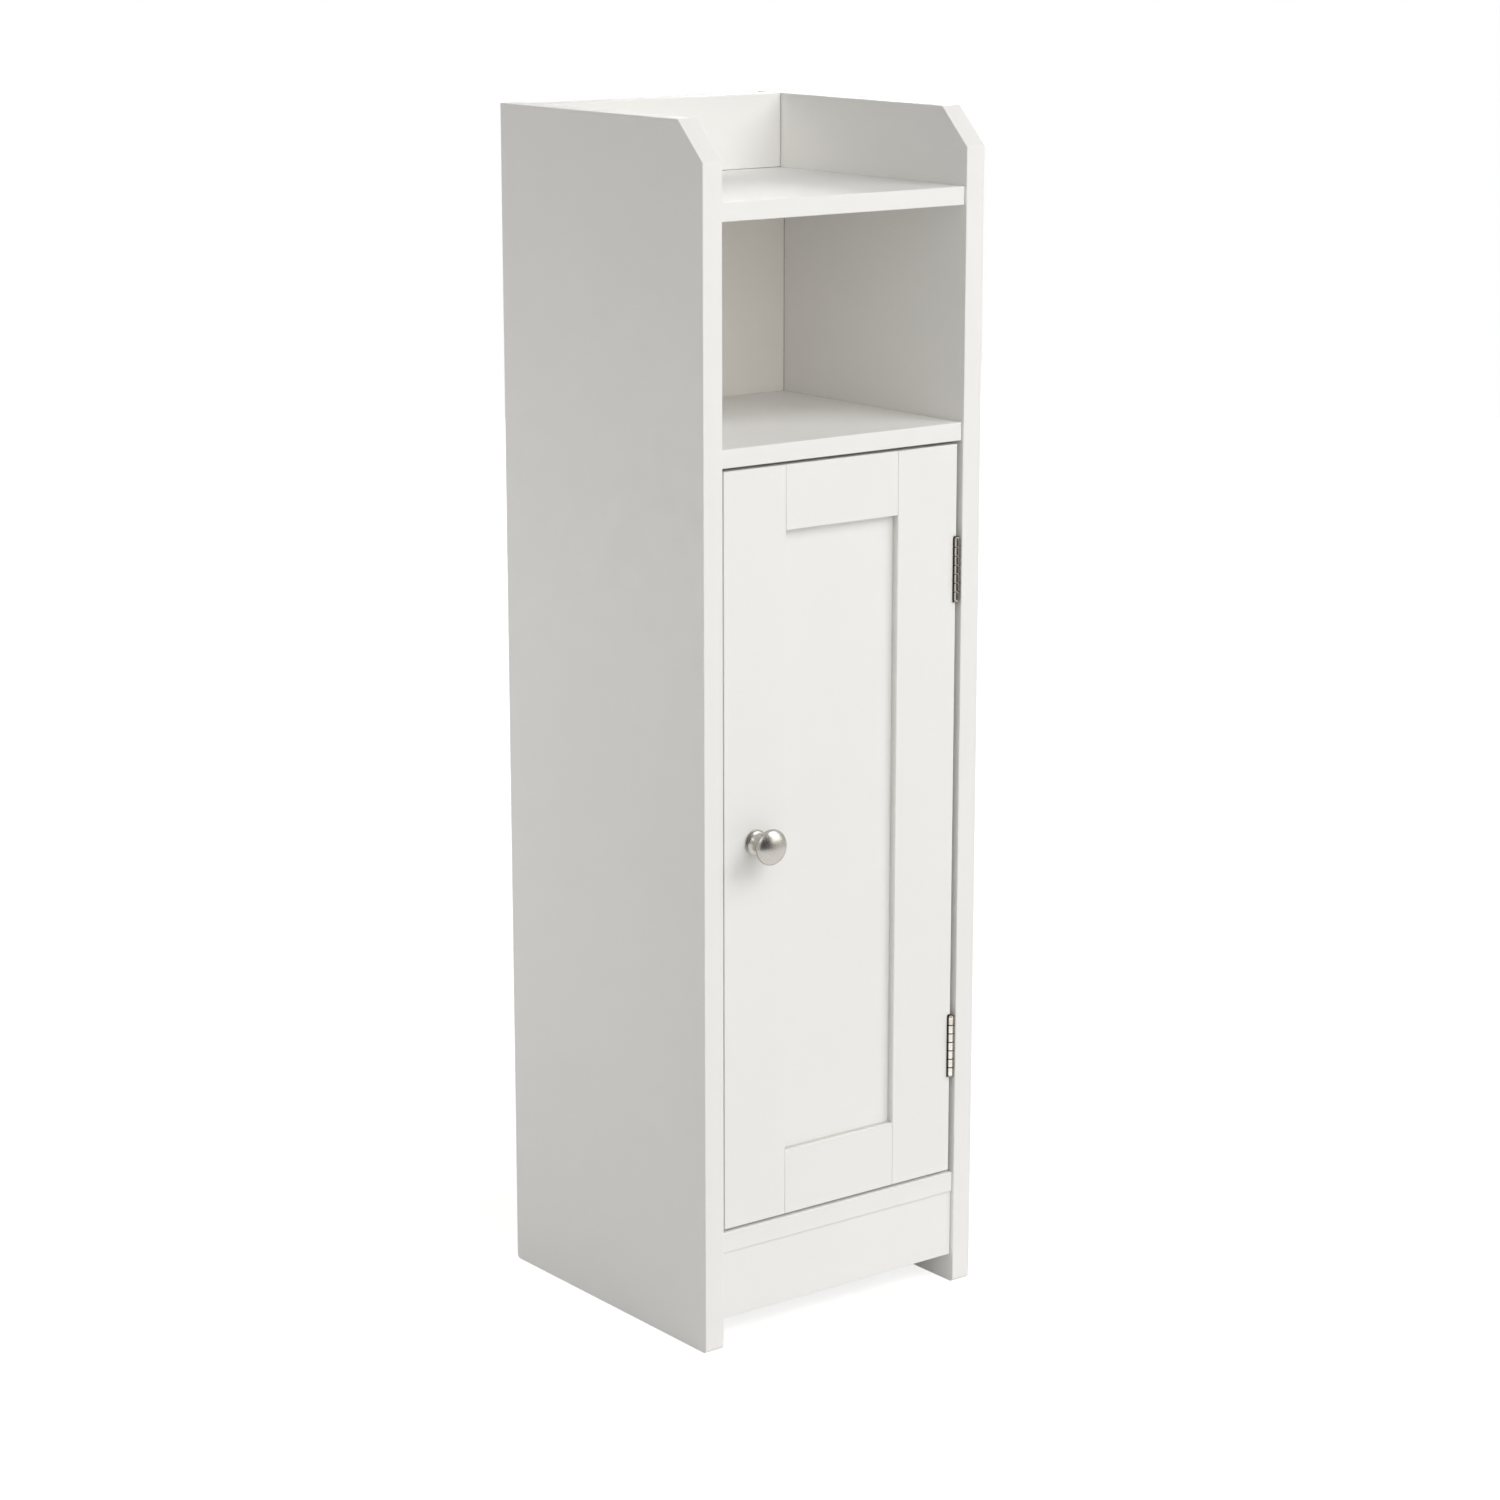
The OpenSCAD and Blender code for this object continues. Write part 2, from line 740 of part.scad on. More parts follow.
// The leaf on the right side panel, which its plate lies against
module frame_leaf(z) {
    plate_x = right_in - leaf_t - axis_x;
    color(nickel)
        translate([axis_x, axis_y, z])
            hinge_leaf(plate_x, 0, 0, plate_x, 0);
}

// The leaf on the door's edge
module door_leaf(z) {
    plate_x = door_x1 - axis_x;
    color(nickel)
        translate([axis_x, axis_y, z])
            hinge_leaf(plate_x, (bore_r + barrel_r) / 2, 1, plate_x + leaf_t, 180);
}

// A pin with a dome at each end
module hinge_pin(z) {
    head_r = pin_head_d / 2;
    dome = arc([0, hinge_h / 2], head_r, pin_head_h, 0, 90, curve_steps);
    half = concat([[0, 0], [pin_d / 2, 0], [pin_d / 2, hinge_h / 2]], dome);
    color(nickel)
        translate([axis_x, axis_y, z]) {
            rotate_extrude()
                polygon(half);
            mirror([0, 0, 1])
                rotate_extrude()
                    polygon(half);
        }
}

module hinge_upper_frame_leaf() {
    frame_leaf(hinge_zs[0]);
}

module hinge_upper_door_leaf() {
    door_leaf(hinge_zs[0]);
}

module hinge_upper_pin() {
    hinge_pin(hinge_zs[0]);
}

module hinge_lower_frame_leaf() {
    frame_leaf(hinge_zs[1]);
}

module hinge_lower_door_leaf() {
    door_leaf(hinge_zs[1]);
}

module hinge_lower_pin() {
    hinge_pin(hinge_zs[1]);
}

module hinge_screws_frame() {
    color(nickel)
        for (z = hinge_zs, s = [-1, 1])
            translate([right_in - leaf_t, axis_y + leaf_screw_in, z + s * leaf_screw_span / 2])
                sunk_screw(screw_l);
}

module hinge_screws_door() {
    color(nickel)
        for (z = hinge_zs, s = [-1, 1])
            translate([door_x1 + leaf_t, axis_y + leaf_screw_in, z + s * leaf_screw_span / 2])
                rotate([0, 0, 180])
                    sunk_screw(screw_l);
}

// Housing of the magnetic catch, screwed under the middle shelf by two ears
module catch_body() {
    side = catch_w / 2 + ear_w;
    color(white)
        difference() {
            union() {
                board([catch_x - catch_w / 2, catch_y, mid_z - catch_h],
                    [catch_x + catch_w / 2, catch_y + catch_d, mid_z]);
                board([catch_x - side, catch_y, mid_z - ear_t],
                    [catch_x + side, catch_y + catch_d, mid_z]);
            }
            board([catch_x - pocket_w / 2, catch_y - cut, catch_z - pocket_h / 2],
                [catch_x + pocket_w / 2, pole_y + pole_d + fit_play, catch_z + pocket_h / 2]);
            for (s = [-1, 1])
                bar_z([catch_x + s * ear_x, catch_y + catch_d / 2, mid_z - ear_t - cut],
                    screw_d / 2 + fit_play, ear_t + 2 * cut);
        }
}

module catch_magnet() {
    color(ferrite)
        board([catch_x - magnet_w / 2, pole_y + pole_d - magnet_d, catch_z - magnet_t / 2],
            [catch_x + magnet_w / 2, pole_y + pole_d, catch_z + magnet_t / 2]);
}

// The two steel plates that carry the pull of the magnet to the strike plate
module catch_poles() {
    color(zinc)
        for (s = [-1, 1])
            translate([catch_x - magnet_w / 2, pole_y, catch_z + (s * (magnet_t + pole_t) - pole_t) / 2])
                cube([magnet_w, pole_d, pole_t]);
}

module catch_screws() {
    color(zinc)
        for (s = [-1, 1]) {
            place = [catch_x + s * ear_x, catch_y + catch_d / 2, mid_z - ear_t];
            bar_z(place, screw_d / 2, catch_screw_l);
            bar_z(place - [0, 0, pan_head_h], pan_head_d / 2, pan_head_h);
        }
}

// Steel plate on the back of the door that the magnet holds
module strike_plate() {
    color(zinc)
        difference() {
            board([catch_x - strike_w / 2, door_y1, catch_z - strike_h / 2],
                [catch_x + strike_w / 2, strike_y1, catch_z + strike_h / 2]);
            translate([catch_x, strike_y1, catch_z])
                rotate([0, 0, -90])
                    sunk_hole(strike_t);
        }
}

module strike_screw() {
    color(zinc)
        translate([catch_x, strike_y1, catch_z])
            rotate([0, 0, -90])
                sunk_screw(strike_screw_l);
}

side_panel_left();
side_panel_right();
top_shelf();
middle_shelf();
bottom_panel();
inner_shelf();
plinth();
tray_back();
back_panel();
shelf_pins();
cam_bolts();
cam_locks();
dowels();
back_nails();
door_stile_left();
door_stile_right();
door_rail_top();
door_rail_bottom();
door_panel();
knob();
knob_screw();
hinge_upper_frame_leaf();
hinge_upper_door_leaf();
hinge_upper_pin();
hinge_lower_frame_leaf();
hinge_lower_door_leaf();
hinge_lower_pin();
hinge_screws_frame();
hinge_screws_door();
catch_body();
catch_magnet();
catch_poles();
catch_screws();
strike_plate();
strike_screw();
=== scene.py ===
"""Looks of the narrow bathroom cabinet, built round its fixed CAD frame.

All lengths are in metres, in the frame of the CAD part: +Z is up, -Y is the
front, where the door is, and +X is the side that carries the hinges.
"""

import logging
import math
from dataclasses import dataclass
from enum import Enum
from typing import Iterable, NamedTuple, Optional, Sequence

import bmesh
import bpy
from mathutils import Matrix, Vector

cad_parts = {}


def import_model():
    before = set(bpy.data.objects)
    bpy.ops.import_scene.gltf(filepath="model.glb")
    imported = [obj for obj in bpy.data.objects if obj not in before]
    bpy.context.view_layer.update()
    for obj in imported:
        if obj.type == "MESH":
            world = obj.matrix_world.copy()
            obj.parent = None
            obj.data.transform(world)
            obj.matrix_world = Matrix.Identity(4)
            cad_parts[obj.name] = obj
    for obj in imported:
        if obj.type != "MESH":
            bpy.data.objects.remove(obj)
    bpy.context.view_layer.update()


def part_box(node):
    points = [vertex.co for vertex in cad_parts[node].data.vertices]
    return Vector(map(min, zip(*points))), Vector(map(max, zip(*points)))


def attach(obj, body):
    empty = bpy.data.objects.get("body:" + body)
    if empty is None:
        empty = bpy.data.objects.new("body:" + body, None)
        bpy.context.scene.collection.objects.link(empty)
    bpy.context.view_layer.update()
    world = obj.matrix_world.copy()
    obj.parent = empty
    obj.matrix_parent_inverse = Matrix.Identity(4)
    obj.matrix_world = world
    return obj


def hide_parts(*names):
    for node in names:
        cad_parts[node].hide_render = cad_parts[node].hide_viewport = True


Colour = tuple[float, float, float]
Point = tuple[float, float, float]
Span = tuple[float, float]
Profile = Sequence[tuple[float, float]]
Even = tuple[tuple[str, float], ...]
Socket = bpy.types.NodeSocket
Sockets = bpy.types.bpy_prop_collection
Node = bpy.types.Node
Mesh = bpy.types.Mesh
Object = bpy.types.Object
EditMesh = bmesh.types.BMesh

LOG = logging.getLogger("cabinet")
MM = 0.001
WHITE: Colour = (1.0, 1.0, 1.0)
AS_IS: Point = (1.0, 1.0, 1.0)
NONE: Span = (0.0, 0.0)
RISING: Span = (0.0, 1.0)
FALLING: Span = (1.0, 0.0)

# Points that are closer together than this are one point
TINY = 2e-6
# Faces that meet at less than this angle are one face
FLAT = math.radians(0.5)
# How far a cutting shape reaches past what it cuts
PAST = 1.0 * MM
# The turn between two faces, in degrees, from which their edge is shaded sharp
SHARP = 40.0
METAL_SHARP = 35.0
# The weight with which large faces alone set the shading at their edges
LARGE_FACES = 100
# The bevel profile of a round edge
ROUND = 0.5
# The decimals of a metre to which corners are sorted
SORT_DIGITS = 5
# The range that most values of a noise pattern lie in
MOST: Span = (0.3, 0.7)


class Body(str, Enum):
    """The rigid bodies that a piece can ride on."""

    CABINET = "cabinet"
    DOOR = "door"


class Slot(str, Enum):
    """The record's material slots."""

    WHITE_PAINT = "white_paint"
    HARDBOARD = "hardboard"
    SATIN_NICKEL = "satin_nickel"
    ZINC_PLATED = "zinc_plated"
    BEECH = "beech"
    WHITE_PLASTIC = "white_plastic"
    FERRITE = "ferrite"


class Along(Enum):
    """The directions in which a board's edges can run."""

    X = 0
    Y = 1
    Z = 2


class Noise(NamedTuple):
    """A noise pattern: features to a metre, octaves, roughness and stretch by axis."""

    scale: float
    detail: float = 2.0
    roughness: float = 0.5
    stretch: Point = AS_IS


class Relief(NamedTuple):
    """How deep a bump pattern is, and how strongly it shows."""

    depth: float
    strength: float


class Coat(NamedTuple):
    """The sockets that a finish gives its shader."""

    colour: Socket
    gloss: Socket
    relief: Socket


class Sheet:
    """Shorthand for building one node tree."""

    COLUMN = 180
    MIX_INPUTS = (0, 6, 7)
    MIX_RESULT = 2

    def __init__(self, tree: bpy.types.NodeTree) -> None:
        """Takes over an empty node tree."""
        self.tree = tree

    @classmethod
    def clear(cls, data: bpy.types.ID) -> "Sheet":
        """Empties the node tree of a new material or world.

        Args:
            data: the material or world.

        Returns:
            A sheet on its tree.
        """
        data.use_nodes = True
        data.node_tree.nodes.clear()
        return cls(data.node_tree)

    def add(self, kind: str, settings: Optional[dict[str, object]] = None,
            **values: object) -> Node:
        """Adds a node.

        Args:
            kind: Blender's name for the node type.
            settings: properties of the node itself.
            values: socket values or source sockets, with spaces written as _.

        Returns:
            The new node.
        """
        node = self.tree.nodes.new(kind)
        node.location.x = self.COLUMN * len(self.tree.nodes)
        for key, value in (settings or {}).items():
            setattr(node, key, value)
        for key, value in values.items():
            self.feed(node.inputs[key.replace("_", " ")], value)
        return node

    def feed(self, socket: Socket, value: object) -> None:
        """Links a source socket to an input, or sets the input's own value.

        Args:
            socket: the input.
            value: a source socket, or a plain value.
        """
        if isinstance(value, Socket):
            self.tree.links.new(value, socket)
        elif socket.type == "RGBA" and len(value) == 3:
            socket.default_value = (*value, 1.0)
        else:
            socket.default_value = value

    def fill(self, node: Node, *values: object) -> Socket:
        """Feeds a node's first inputs in their order.

        Args:
            node: the node.
            values: source sockets or plain values.

        Returns:
            The node's first output.
        """
        for socket, value in zip(node.inputs, values):
            self.feed(socket, value)
        return node.outputs[0]

    def place(self) -> Socket:
        """Returns the place on the object."""
        return self.add("ShaderNodeTexCoord").outputs["Object"]

    def axes(self) -> Sockets:
        """Returns the place on the object as its X, Y and Z."""
        return self.add("ShaderNodeSeparateXYZ", Vector=self.place()).outputs

    def noise(self, noise: Noise) -> Socket:
        """Reads a noise pattern at the place on the object.

        Args:
            noise: the pattern.

        Returns:
            The pattern's value.
        """
        where = self.place()
        if noise.stretch != AS_IS:
            where = self.add("ShaderNodeMapping", Vector=where, Scale=noise.stretch).outputs[0]
        return self.add("ShaderNodeTexNoise", Vector=where, Scale=noise.scale,
                        Detail=noise.detail, Roughness=noise.roughness).outputs[0]

    def between(self, share: Socket, values: Span, places: Span = MOST) -> Socket:
        """Returns what goes from one value to another as a share goes between two places."""
        return self.fill(self.add("ShaderNodeMapRange"), share, *places, *values)

    def ramp(self, share: Socket, stops: Sequence[float], colours: Sequence[Colour]) -> Socket:
        """Goes through a row of colours.

        Args:
            share: what the colour follows.
            stops: the share at which each colour is reached.
            colours: the colours.

        Returns:
            The colour.
        """
        node = self.add("ShaderNodeValToRGB", Fac=share)
        points = node.color_ramp.elements
        while len(points) < len(stops):
            points.new(stops[len(points) - 1])
        for point, stop, colour in zip(points, stops, colours):
            point.position = stop
            point.color = (*colour, 1.0)
        return node.outputs[0]

    def maths(self, operation: str, *values: object) -> Socket:
        """Returns the result of one sum on one or two values."""
        return self.fill(self.add("ShaderNodeMath", {"operation": operation}), *values)

    def away(self, place: Socket, middle: float) -> Socket:
        """Returns how far a place is from a middle, to either side."""
        return self.maths("ABSOLUTE", self.maths("SUBTRACT", place, middle))

    def blend(self, main: Socket, other: Socket, share: float) -> Socket:
        """Returns a mixture of two values, with this share of the first."""
        return self.maths("ADD", self.maths("MULTIPLY", main, share),
                          self.maths("MULTIPLY", other, 1.0 - share))

    def mix(self, share: Socket, first: object, second: object) -> Socket:
        """Mixes two colours.

        Args:
            share: how much of the mixture is the second.
            first: the first colour.
            second: the second colour.

        Returns:
            The mixture.
        """
        node = self.add("ShaderNodeMix", {"data_type": "RGBA"})
        for number, value in zip(self.MIX_INPUTS, (share, first, second)):
            self.feed(node.inputs[number], value)
        return node.outputs[self.MIX_RESULT]

    def bump(self, height: Socket, relief: Relief, onto: Optional[Socket] = None) -> Socket:
        """Makes normals from a relief.

        Args:
            height: the pattern of the relief.
            relief: its depth and strength.
            onto: the normals of another relief that it lies on.

        Returns:
            The normals.
        """
        node = self.add("ShaderNodeBump", Height=height, Distance=relief.depth,
                        Strength=relief.strength)
        if onto is not None:
            self.feed(node.inputs["Normal"], onto)
        return node.outputs[0]


def scaled(colour: Colour, factor: float) -> Colour:
    """Returns a colour made lighter or darker by a factor."""
    return tuple(factor * part for part in colour)


@dataclass(frozen=True)
class Finish:
    """A finish: its plain name, its slot in the record, and its even shader values."""

    name: str
    slot: Slot
    even: Even = ()

    def coat(self, sheet: Sheet) -> Coat:
        """Returns the colour, roughness and relief of the surface."""
        raise NotImplementedError

    def material(self) -> bpy.types.Material:
        """Makes this finish's material, once.

        Returns:
            The material.
        """
        made = bpy.data.materials.get(self.name)
        if made is not None:
            return made
        made = bpy.data.materials.new(self.name)
        sheet = Sheet.clear(made)
        coat = self.coat(sheet)
        shader = sheet.add("ShaderNodeBsdfPrincipled", Base_Color=coat.colour,
                           Roughness=coat.gloss, Normal=coat.relief)
        for name, value in self.even:
            shader.inputs[name].default_value = value
        sheet.add("ShaderNodeOutputMaterial", Surface=shader.outputs[0])
        return made


@dataclass(frozen=True)
class RolledPaint(Finish):
    """Satin paint on fibreboard: faint clouds of tone, roller peel and fine pinholes."""

    even: Even = (("IOR", 1.45),)
    tone: Colour = (0.9, 0.89, 0.866)
    shade: Colour = (0.888, 0.877, 0.852)
    gloss: Span = (0.46, 0.56)
    clouds: Noise = Noise(7.0, 4.0, 0.6)
    speckle: Noise = Noise(900.0)
    cloud_share: float = 0.75
    stops: Span = (0.35, 0.62)
    patches: Noise = Noise(60.0, 3.0)
    peel: Noise = Noise(380.0, 1.5)
    peel_relief: Relief = Relief(0.03 * MM, 0.5)
    pinholes: Noise = Noise(2600.0)
    pinhole_relief: Relief = Relief(0.008 * MM, 0.4)

    def coat(self, sheet: Sheet) -> Coat:
        """Makes the clouded colour, the patchy gloss and the two reliefs.

        Args:
            sheet: the material's nodes.

        Returns:
            The three sockets.
        """
        mixed = sheet.blend(sheet.noise(self.clouds), sheet.noise(self.speckle),
                            self.cloud_share)
        peel = sheet.bump(sheet.noise(self.peel), self.peel_relief)
        return Coat(sheet.ramp(mixed, self.stops, (self.shade, self.tone)),
                    sheet.between(sheet.noise(self.patches), self.gloss),
                    sheet.bump(sheet.noise(self.pinholes), self.pinhole_relief, peel))


@dataclass(frozen=True)
class PressedHardboard(Finish):
    """Brown hardboard with matted fibres and the print of the press's wire screen."""

    even: Even = (("Specular IOR Level", 0.3),)
    tone: Colour = (0.36, 0.205, 0.105)
    shade: Colour = (0.22, 0.115, 0.055)
    lightest: float = 1.25
    gloss: Span = (0.7, 0.9)
    fibres: Noise = Noise(520.0, 6.0, 0.65, (1.0, 1.0, 0.45))
    fibre_relief: Relief = Relief(0.12 * MM, 0.6)
    clouds: Noise = Noise(16.0, 3.0)
    fibre_share: float = 0.7
    stops: Sequence[float] = (0.34, 0.5, 0.68)
    wires: float = 2800.0
    wire_relief: Relief = Relief(0.16 * MM, 0.5)

    def coat(self, sheet: Sheet) -> Coat:
        """Makes the matted colour, and the wires' print on the fibres' relief.

        Args:
            sheet: the material's nodes.

        Returns:
            The three sockets.
        """
        fibres = sheet.noise(self.fibres)
        mixed = sheet.blend(fibres, sheet.noise(self.clouds), self.fibre_share)
        colours = (self.shade, self.tone, scaled(self.tone, self.lightest))
        across, _, upward = sheet.axes()
        waves = [sheet.maths("SINE", sheet.maths("MULTIPLY", place, self.wires))
                 for place in (across, upward)]
        rough = sheet.bump(fibres, self.fibre_relief)
        return Coat(sheet.ramp(mixed, self.stops, colours), sheet.between(fibres, self.gloss),
                    sheet.bump(sheet.maths("MULTIPLY", *waves), self.wire_relief, rough))


@dataclass(frozen=True)
class PlatedMetal(Finish):
    """Plated metal with a fine drawn grain and faint stains."""

    even: Even = (("Metallic", 1.0),)
    tone: Colour = (0.62, 0.64, 0.66)
    stain: Colour = (0.5, 0.52, 0.53)
    gloss: Span = (0.28, 0.4)
    stains: Noise = Noise(130.0, 4.0, 0.55)
    stops: Span = (0.36, 0.56)
    grain: Noise = Noise(2400.0, 3.0, 0.6)
    grain_relief: Relief = Relief(0.004 * MM, 0.35)

    def colour(self, sheet: Sheet) -> Socket:
        """Returns the stained colour."""
        return sheet.ramp(sheet.noise(self.stains), self.stops, (self.stain, self.tone))

    def coat(self, sheet: Sheet) -> Coat:
        """Makes the stained colour and the drawn grain.

        Args:
            sheet: the material's nodes.

        Returns:
            The three sockets.
        """
        grain = sheet.noise(self.grain)
        return Coat(self.colour(sheet), sheet.between(grain, self.gloss),
                    sheet.bump(grain, self.grain_relief))


@dataclass(frozen=True)
class ShadePaintedHingeMetal(PlatedMetal):
    """Plated metal with painted shade round the barrel's back and in a stripe along its front.

    The painted shade stands in for the gap's shadow at the back and for a dark reflection
    on the front. The recess is the Y of the shaded back and the stripe's X is where the
    stripe lies. Each fades out between its two depths, to both sides, and the stripe also
    stops between the two Y of its end. At its middle the stripe keeps its least share of
    the unshaded colour.
    """

    # The colour of the painted shade, for the gap's shadow and a dark reflection
    painted_shade: Colour = (0.07, 0.055, 0.04)
    # The Y round which the barrel's back is darkened as painted shade of the door's gap
    recess: float = -98.0 * MM
    back_shade_depth: Span = (1.6 * MM, 2.2 * MM)
    # The X of the stripe of painted shade, a dark reflection along the barrel's front
    stripe_shade_x: float = 96.1 * MM
    stripe_shade_depth: Span = (0.7 * MM, 1.15 * MM)
    stripe_shade_end: Span = (-97.0 * MM, -96.0 * MM)
    stripe_least_unshaded: float = 0.12

    def colour(self, sheet: Sheet) -> Socket:
        """Mixes the stained colour with the painted shade.

        Args:
            sheet: the material's nodes.

        Returns:
            The colour.
        """
        x, y, _ = sheet.axes()
        deep = sheet.between(sheet.away(y, self.recess), RISING, self.back_shade_depth)
        beside = sheet.between(sheet.away(x, self.stripe_shade_x), (self.stripe_least_unshaded, 1.0),
                               self.stripe_shade_depth)
        behind = sheet.between(y, RISING, self.stripe_shade_end)
        # Painted shade: where this is low, the shade's colour covers the metal
        unshaded = sheet.maths("MULTIPLY", deep, sheet.maths("MAXIMUM", beside, behind))
        return sheet.mix(unshaded, self.painted_shade, super().colour(sheet))


@dataclass(frozen=True)
class TurnedBeech(Finish):
    """Plain beech with rings and short dark flecks."""

    tone: Colour = (0.62, 0.4, 0.2)
    shade: Colour = (0.42, 0.24, 0.11)
    gloss: Span = (0.55, 0.7)
    rings: float = 260.0
    ring_bend: float = 6.0
    ring_detail: float = 3.0
    flecks: Noise = Noise(2200.0, 3.0, 0.5, (0.15, 1.0, 1.0))
    fleck_relief: Relief = Relief(0.04 * MM, 0.6)
    ring_share: float = 0.6
    stops: Span = (0.3, 0.6)

    def coat(self, sheet: Sheet) -> Coat:
        """Makes the ringed colour and the flecks' relief.

        Args:
            sheet: the material's nodes.

        Returns:
            The three sockets.
        """
        wave = sheet.add("ShaderNodeTexWave", {"bands_direction": "Z"}, Vector=sheet.place(),
                         Scale=self.rings, Distortion=self.ring_bend, Detail=self.ring_detail)
        flecks = sheet.noise(self.flecks)
        mixed = sheet.blend(wave.outputs["Fac"], flecks, self.ring_share)
        return Coat(sheet.ramp(mixed, self.stops, (self.shade, self.tone)),
                    sheet.between(flecks, self.gloss), sheet.bump(flecks, self.fleck_relief))


@dataclass(frozen=True)
class MouldedPlastic(Finish):
    """Moulded plastic with a fine spark texture."""

    tone: Colour = (0.8, 0.79, 0.76)
    darkest: float = 0.97
    gloss: Span = (0.4, 0.52)
    clouds: Noise = Noise(90.0)
    stops: Span = (0.35, 0.6)
    sparks: Noise = Noise(3200.0, 3.0)
    spark_relief: Relief = Relief(0.03 * MM, 0.4)

    def coat(self, sheet: Sheet) -> Coat:
        """Makes the faintly clouded colour and the spark texture.

        Args:
            sheet: the material's nodes.

        Returns:
            The three sockets.
        """
        sparks = sheet.noise(self.sparks)
        colours = (scaled(self.tone, self.darkest), self.tone)
        return Coat(sheet.ramp(sheet.noise(self.clouds), self.stops, colours),
                    sheet.between(sparks, self.gloss), sheet.bump(sparks, self.spark_relief))


@dataclass(frozen=True)
class SinteredFerrite(Finish):
    """Dark grey ferrite with a dusty, pitted skin."""

    tone: Colour = (0.035, 0.035, 0.038)
    darkest: float = 0.6
    lightest: float = 1.7
    gloss: Span = (0.55, 0.75)
    pits: Noise = Noise(3000.0, 4.0, 0.7)
    stops: Span = (0.35, 0.65)
    pit_relief: Relief = Relief(0.05 * MM, 0.6)

    def coat(self, sheet: Sheet) -> Coat:
        """Makes the dusty colour and the pits.

        Args:
            sheet: the material's nodes.

        Returns:
            The three sockets.
        """
        pits = sheet.noise(self.pits)
        colours = (scaled(self.tone, self.darkest), scaled(self.tone, self.lightest))
        return Coat(sheet.ramp(pits, self.stops, colours), sheet.between(pits, self.gloss),
                    sheet.bump(pits, self.pit_relief))


PAINT = RolledPaint("white_satin_paint", Slot.WHITE_PAINT)
# The back panel's own inner coat, tinted warmer and lighter than the paint to stand in for the
# warm bounce light in the open compartment: partly painted light
INSIDE_PAINT = RolledPaint("inner_coat_painted_warm_light", Slot.HARDBOARD, tone=(0.93, 0.902, 0.848),
                           shade=(0.915, 0.886, 0.83), gloss=(0.5, 0.6))
HARDBOARD = PressedHardboard("brown_hardboard", Slot.HARDBOARD)
KNOB_NICKEL = PlatedMetal("knob_nickel", Slot.SATIN_NICKEL, tone=(0.46, 0.443, 0.412),
                          stain=(0.435, 0.418, 0.386), gloss=(0.24, 0.3),
                          grain_relief=Relief(0.002 * MM, 0.35))
# The hinge's metal, with painted shade in the door's gap and along the barrel's front
HINGE_NICKEL = ShadePaintedHingeMetal("hinge_nickel_painted_shade", Slot.SATIN_NICKEL, tone=(0.77, 0.74, 0.69),
                          stain=(0.62, 0.59, 0.53), gloss=(0.14, 0.2),
                          grain=Noise(2400.0, 3.0, 0.6, (1.0, 1.0, 0.12)))
ZINC = PlatedMetal("bright_zinc", Slot.ZINC_PLATED)
BEECH = TurnedBeech("turned_beech", Slot.BEECH)
PLASTIC = MouldedPlastic("catch_plastic", Slot.WHITE_PLASTIC)
FERRITE = SinteredFerrite("magnet_ferrite", Slot.FERRITE)


def mesh_of(obj: Object) -> Mesh:
    """Makes a plain mesh of an object with its modifiers applied.

    Args:
        obj: the object.

    Returns:
        The mesh.
    """
    graph = bpy.context.evaluated_depsgraph_get()
    return bpy.data.meshes.new_from_object(obj.evaluated_get(graph), depsgraph=graph,
                                           preserve_all_data_layers=True)


def bake(obj: Object) -> None:
    """Puts an object's modifiers into its mesh.

    Args:
        obj: the object.
    """
    plain = mesh_of(obj)
    obj.modifiers.clear()
    old = obj.data
    obj.data = plain
    bpy.data.meshes.remove(old)


def object_from(name: str, mesh: Mesh) -> Object:
    """Makes an object at the origin and links it to the scene.

    Args:
        name: the object's name.
        mesh: its mesh, with the object's place in it.

    Returns:
        The object.
    """
    obj = bpy.data.objects.new(name, mesh)
    bpy.context.scene.collection.objects.link(obj)
    return obj


def smooth(mesh: Mesh, angle: float = SHARP) -> None:
    """Shades a mesh smooth, with sharp edges where it turns by more than an angle."""
    mesh.shade_smooth()
    mesh.set_sharp_from_angle(angle=math.radians(angle))


def even_normals(obj: Object) -> None:
    """Makes the flat faces shade flat beside their eased edges.

    Args:
        obj: the object.
    """
    fix = obj.modifiers.new("even_normals", "WEIGHTED_NORMAL")
    fix.keep_sharp = True
    fix.weight = LARGE_FACES
    bake(obj)


def finish_piece(obj: Object, body: Body, finishes: Sequence[Finish],
                 nodes: Sequence[str]) -> Object:
    """Dresses a piece and puts it on its body.

    Args:
        obj: the piece, at the origin, with its place in its mesh.
        body: what it moves with.
        finishes: its finishes, in the order of its material slots.
        nodes: the CAD nodes that it stands for.

    Returns:
        The piece.
    """
    obj.data.materials.clear()
    for finish in finishes:
        obj.data.materials.append(finish.material())
    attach(obj, body.value)
    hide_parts(*nodes)
    LOG.info("%s: %d faces on %s", obj.name, len(obj.data.polygons), body.value)
    return obj


def dress_node(name: str, finish: Finish) -> None:
    """Gives a CAD node that keeps its own shape its finish.

    Args:
        name: the node's name.
        finish: its finish.
    """
    node = bpy.data.objects[name]
    node.data.materials.clear()
    node.data.materials.append(finish.material())
    LOG.info("%s keeps its CAD shape in %s", name, finish.name)


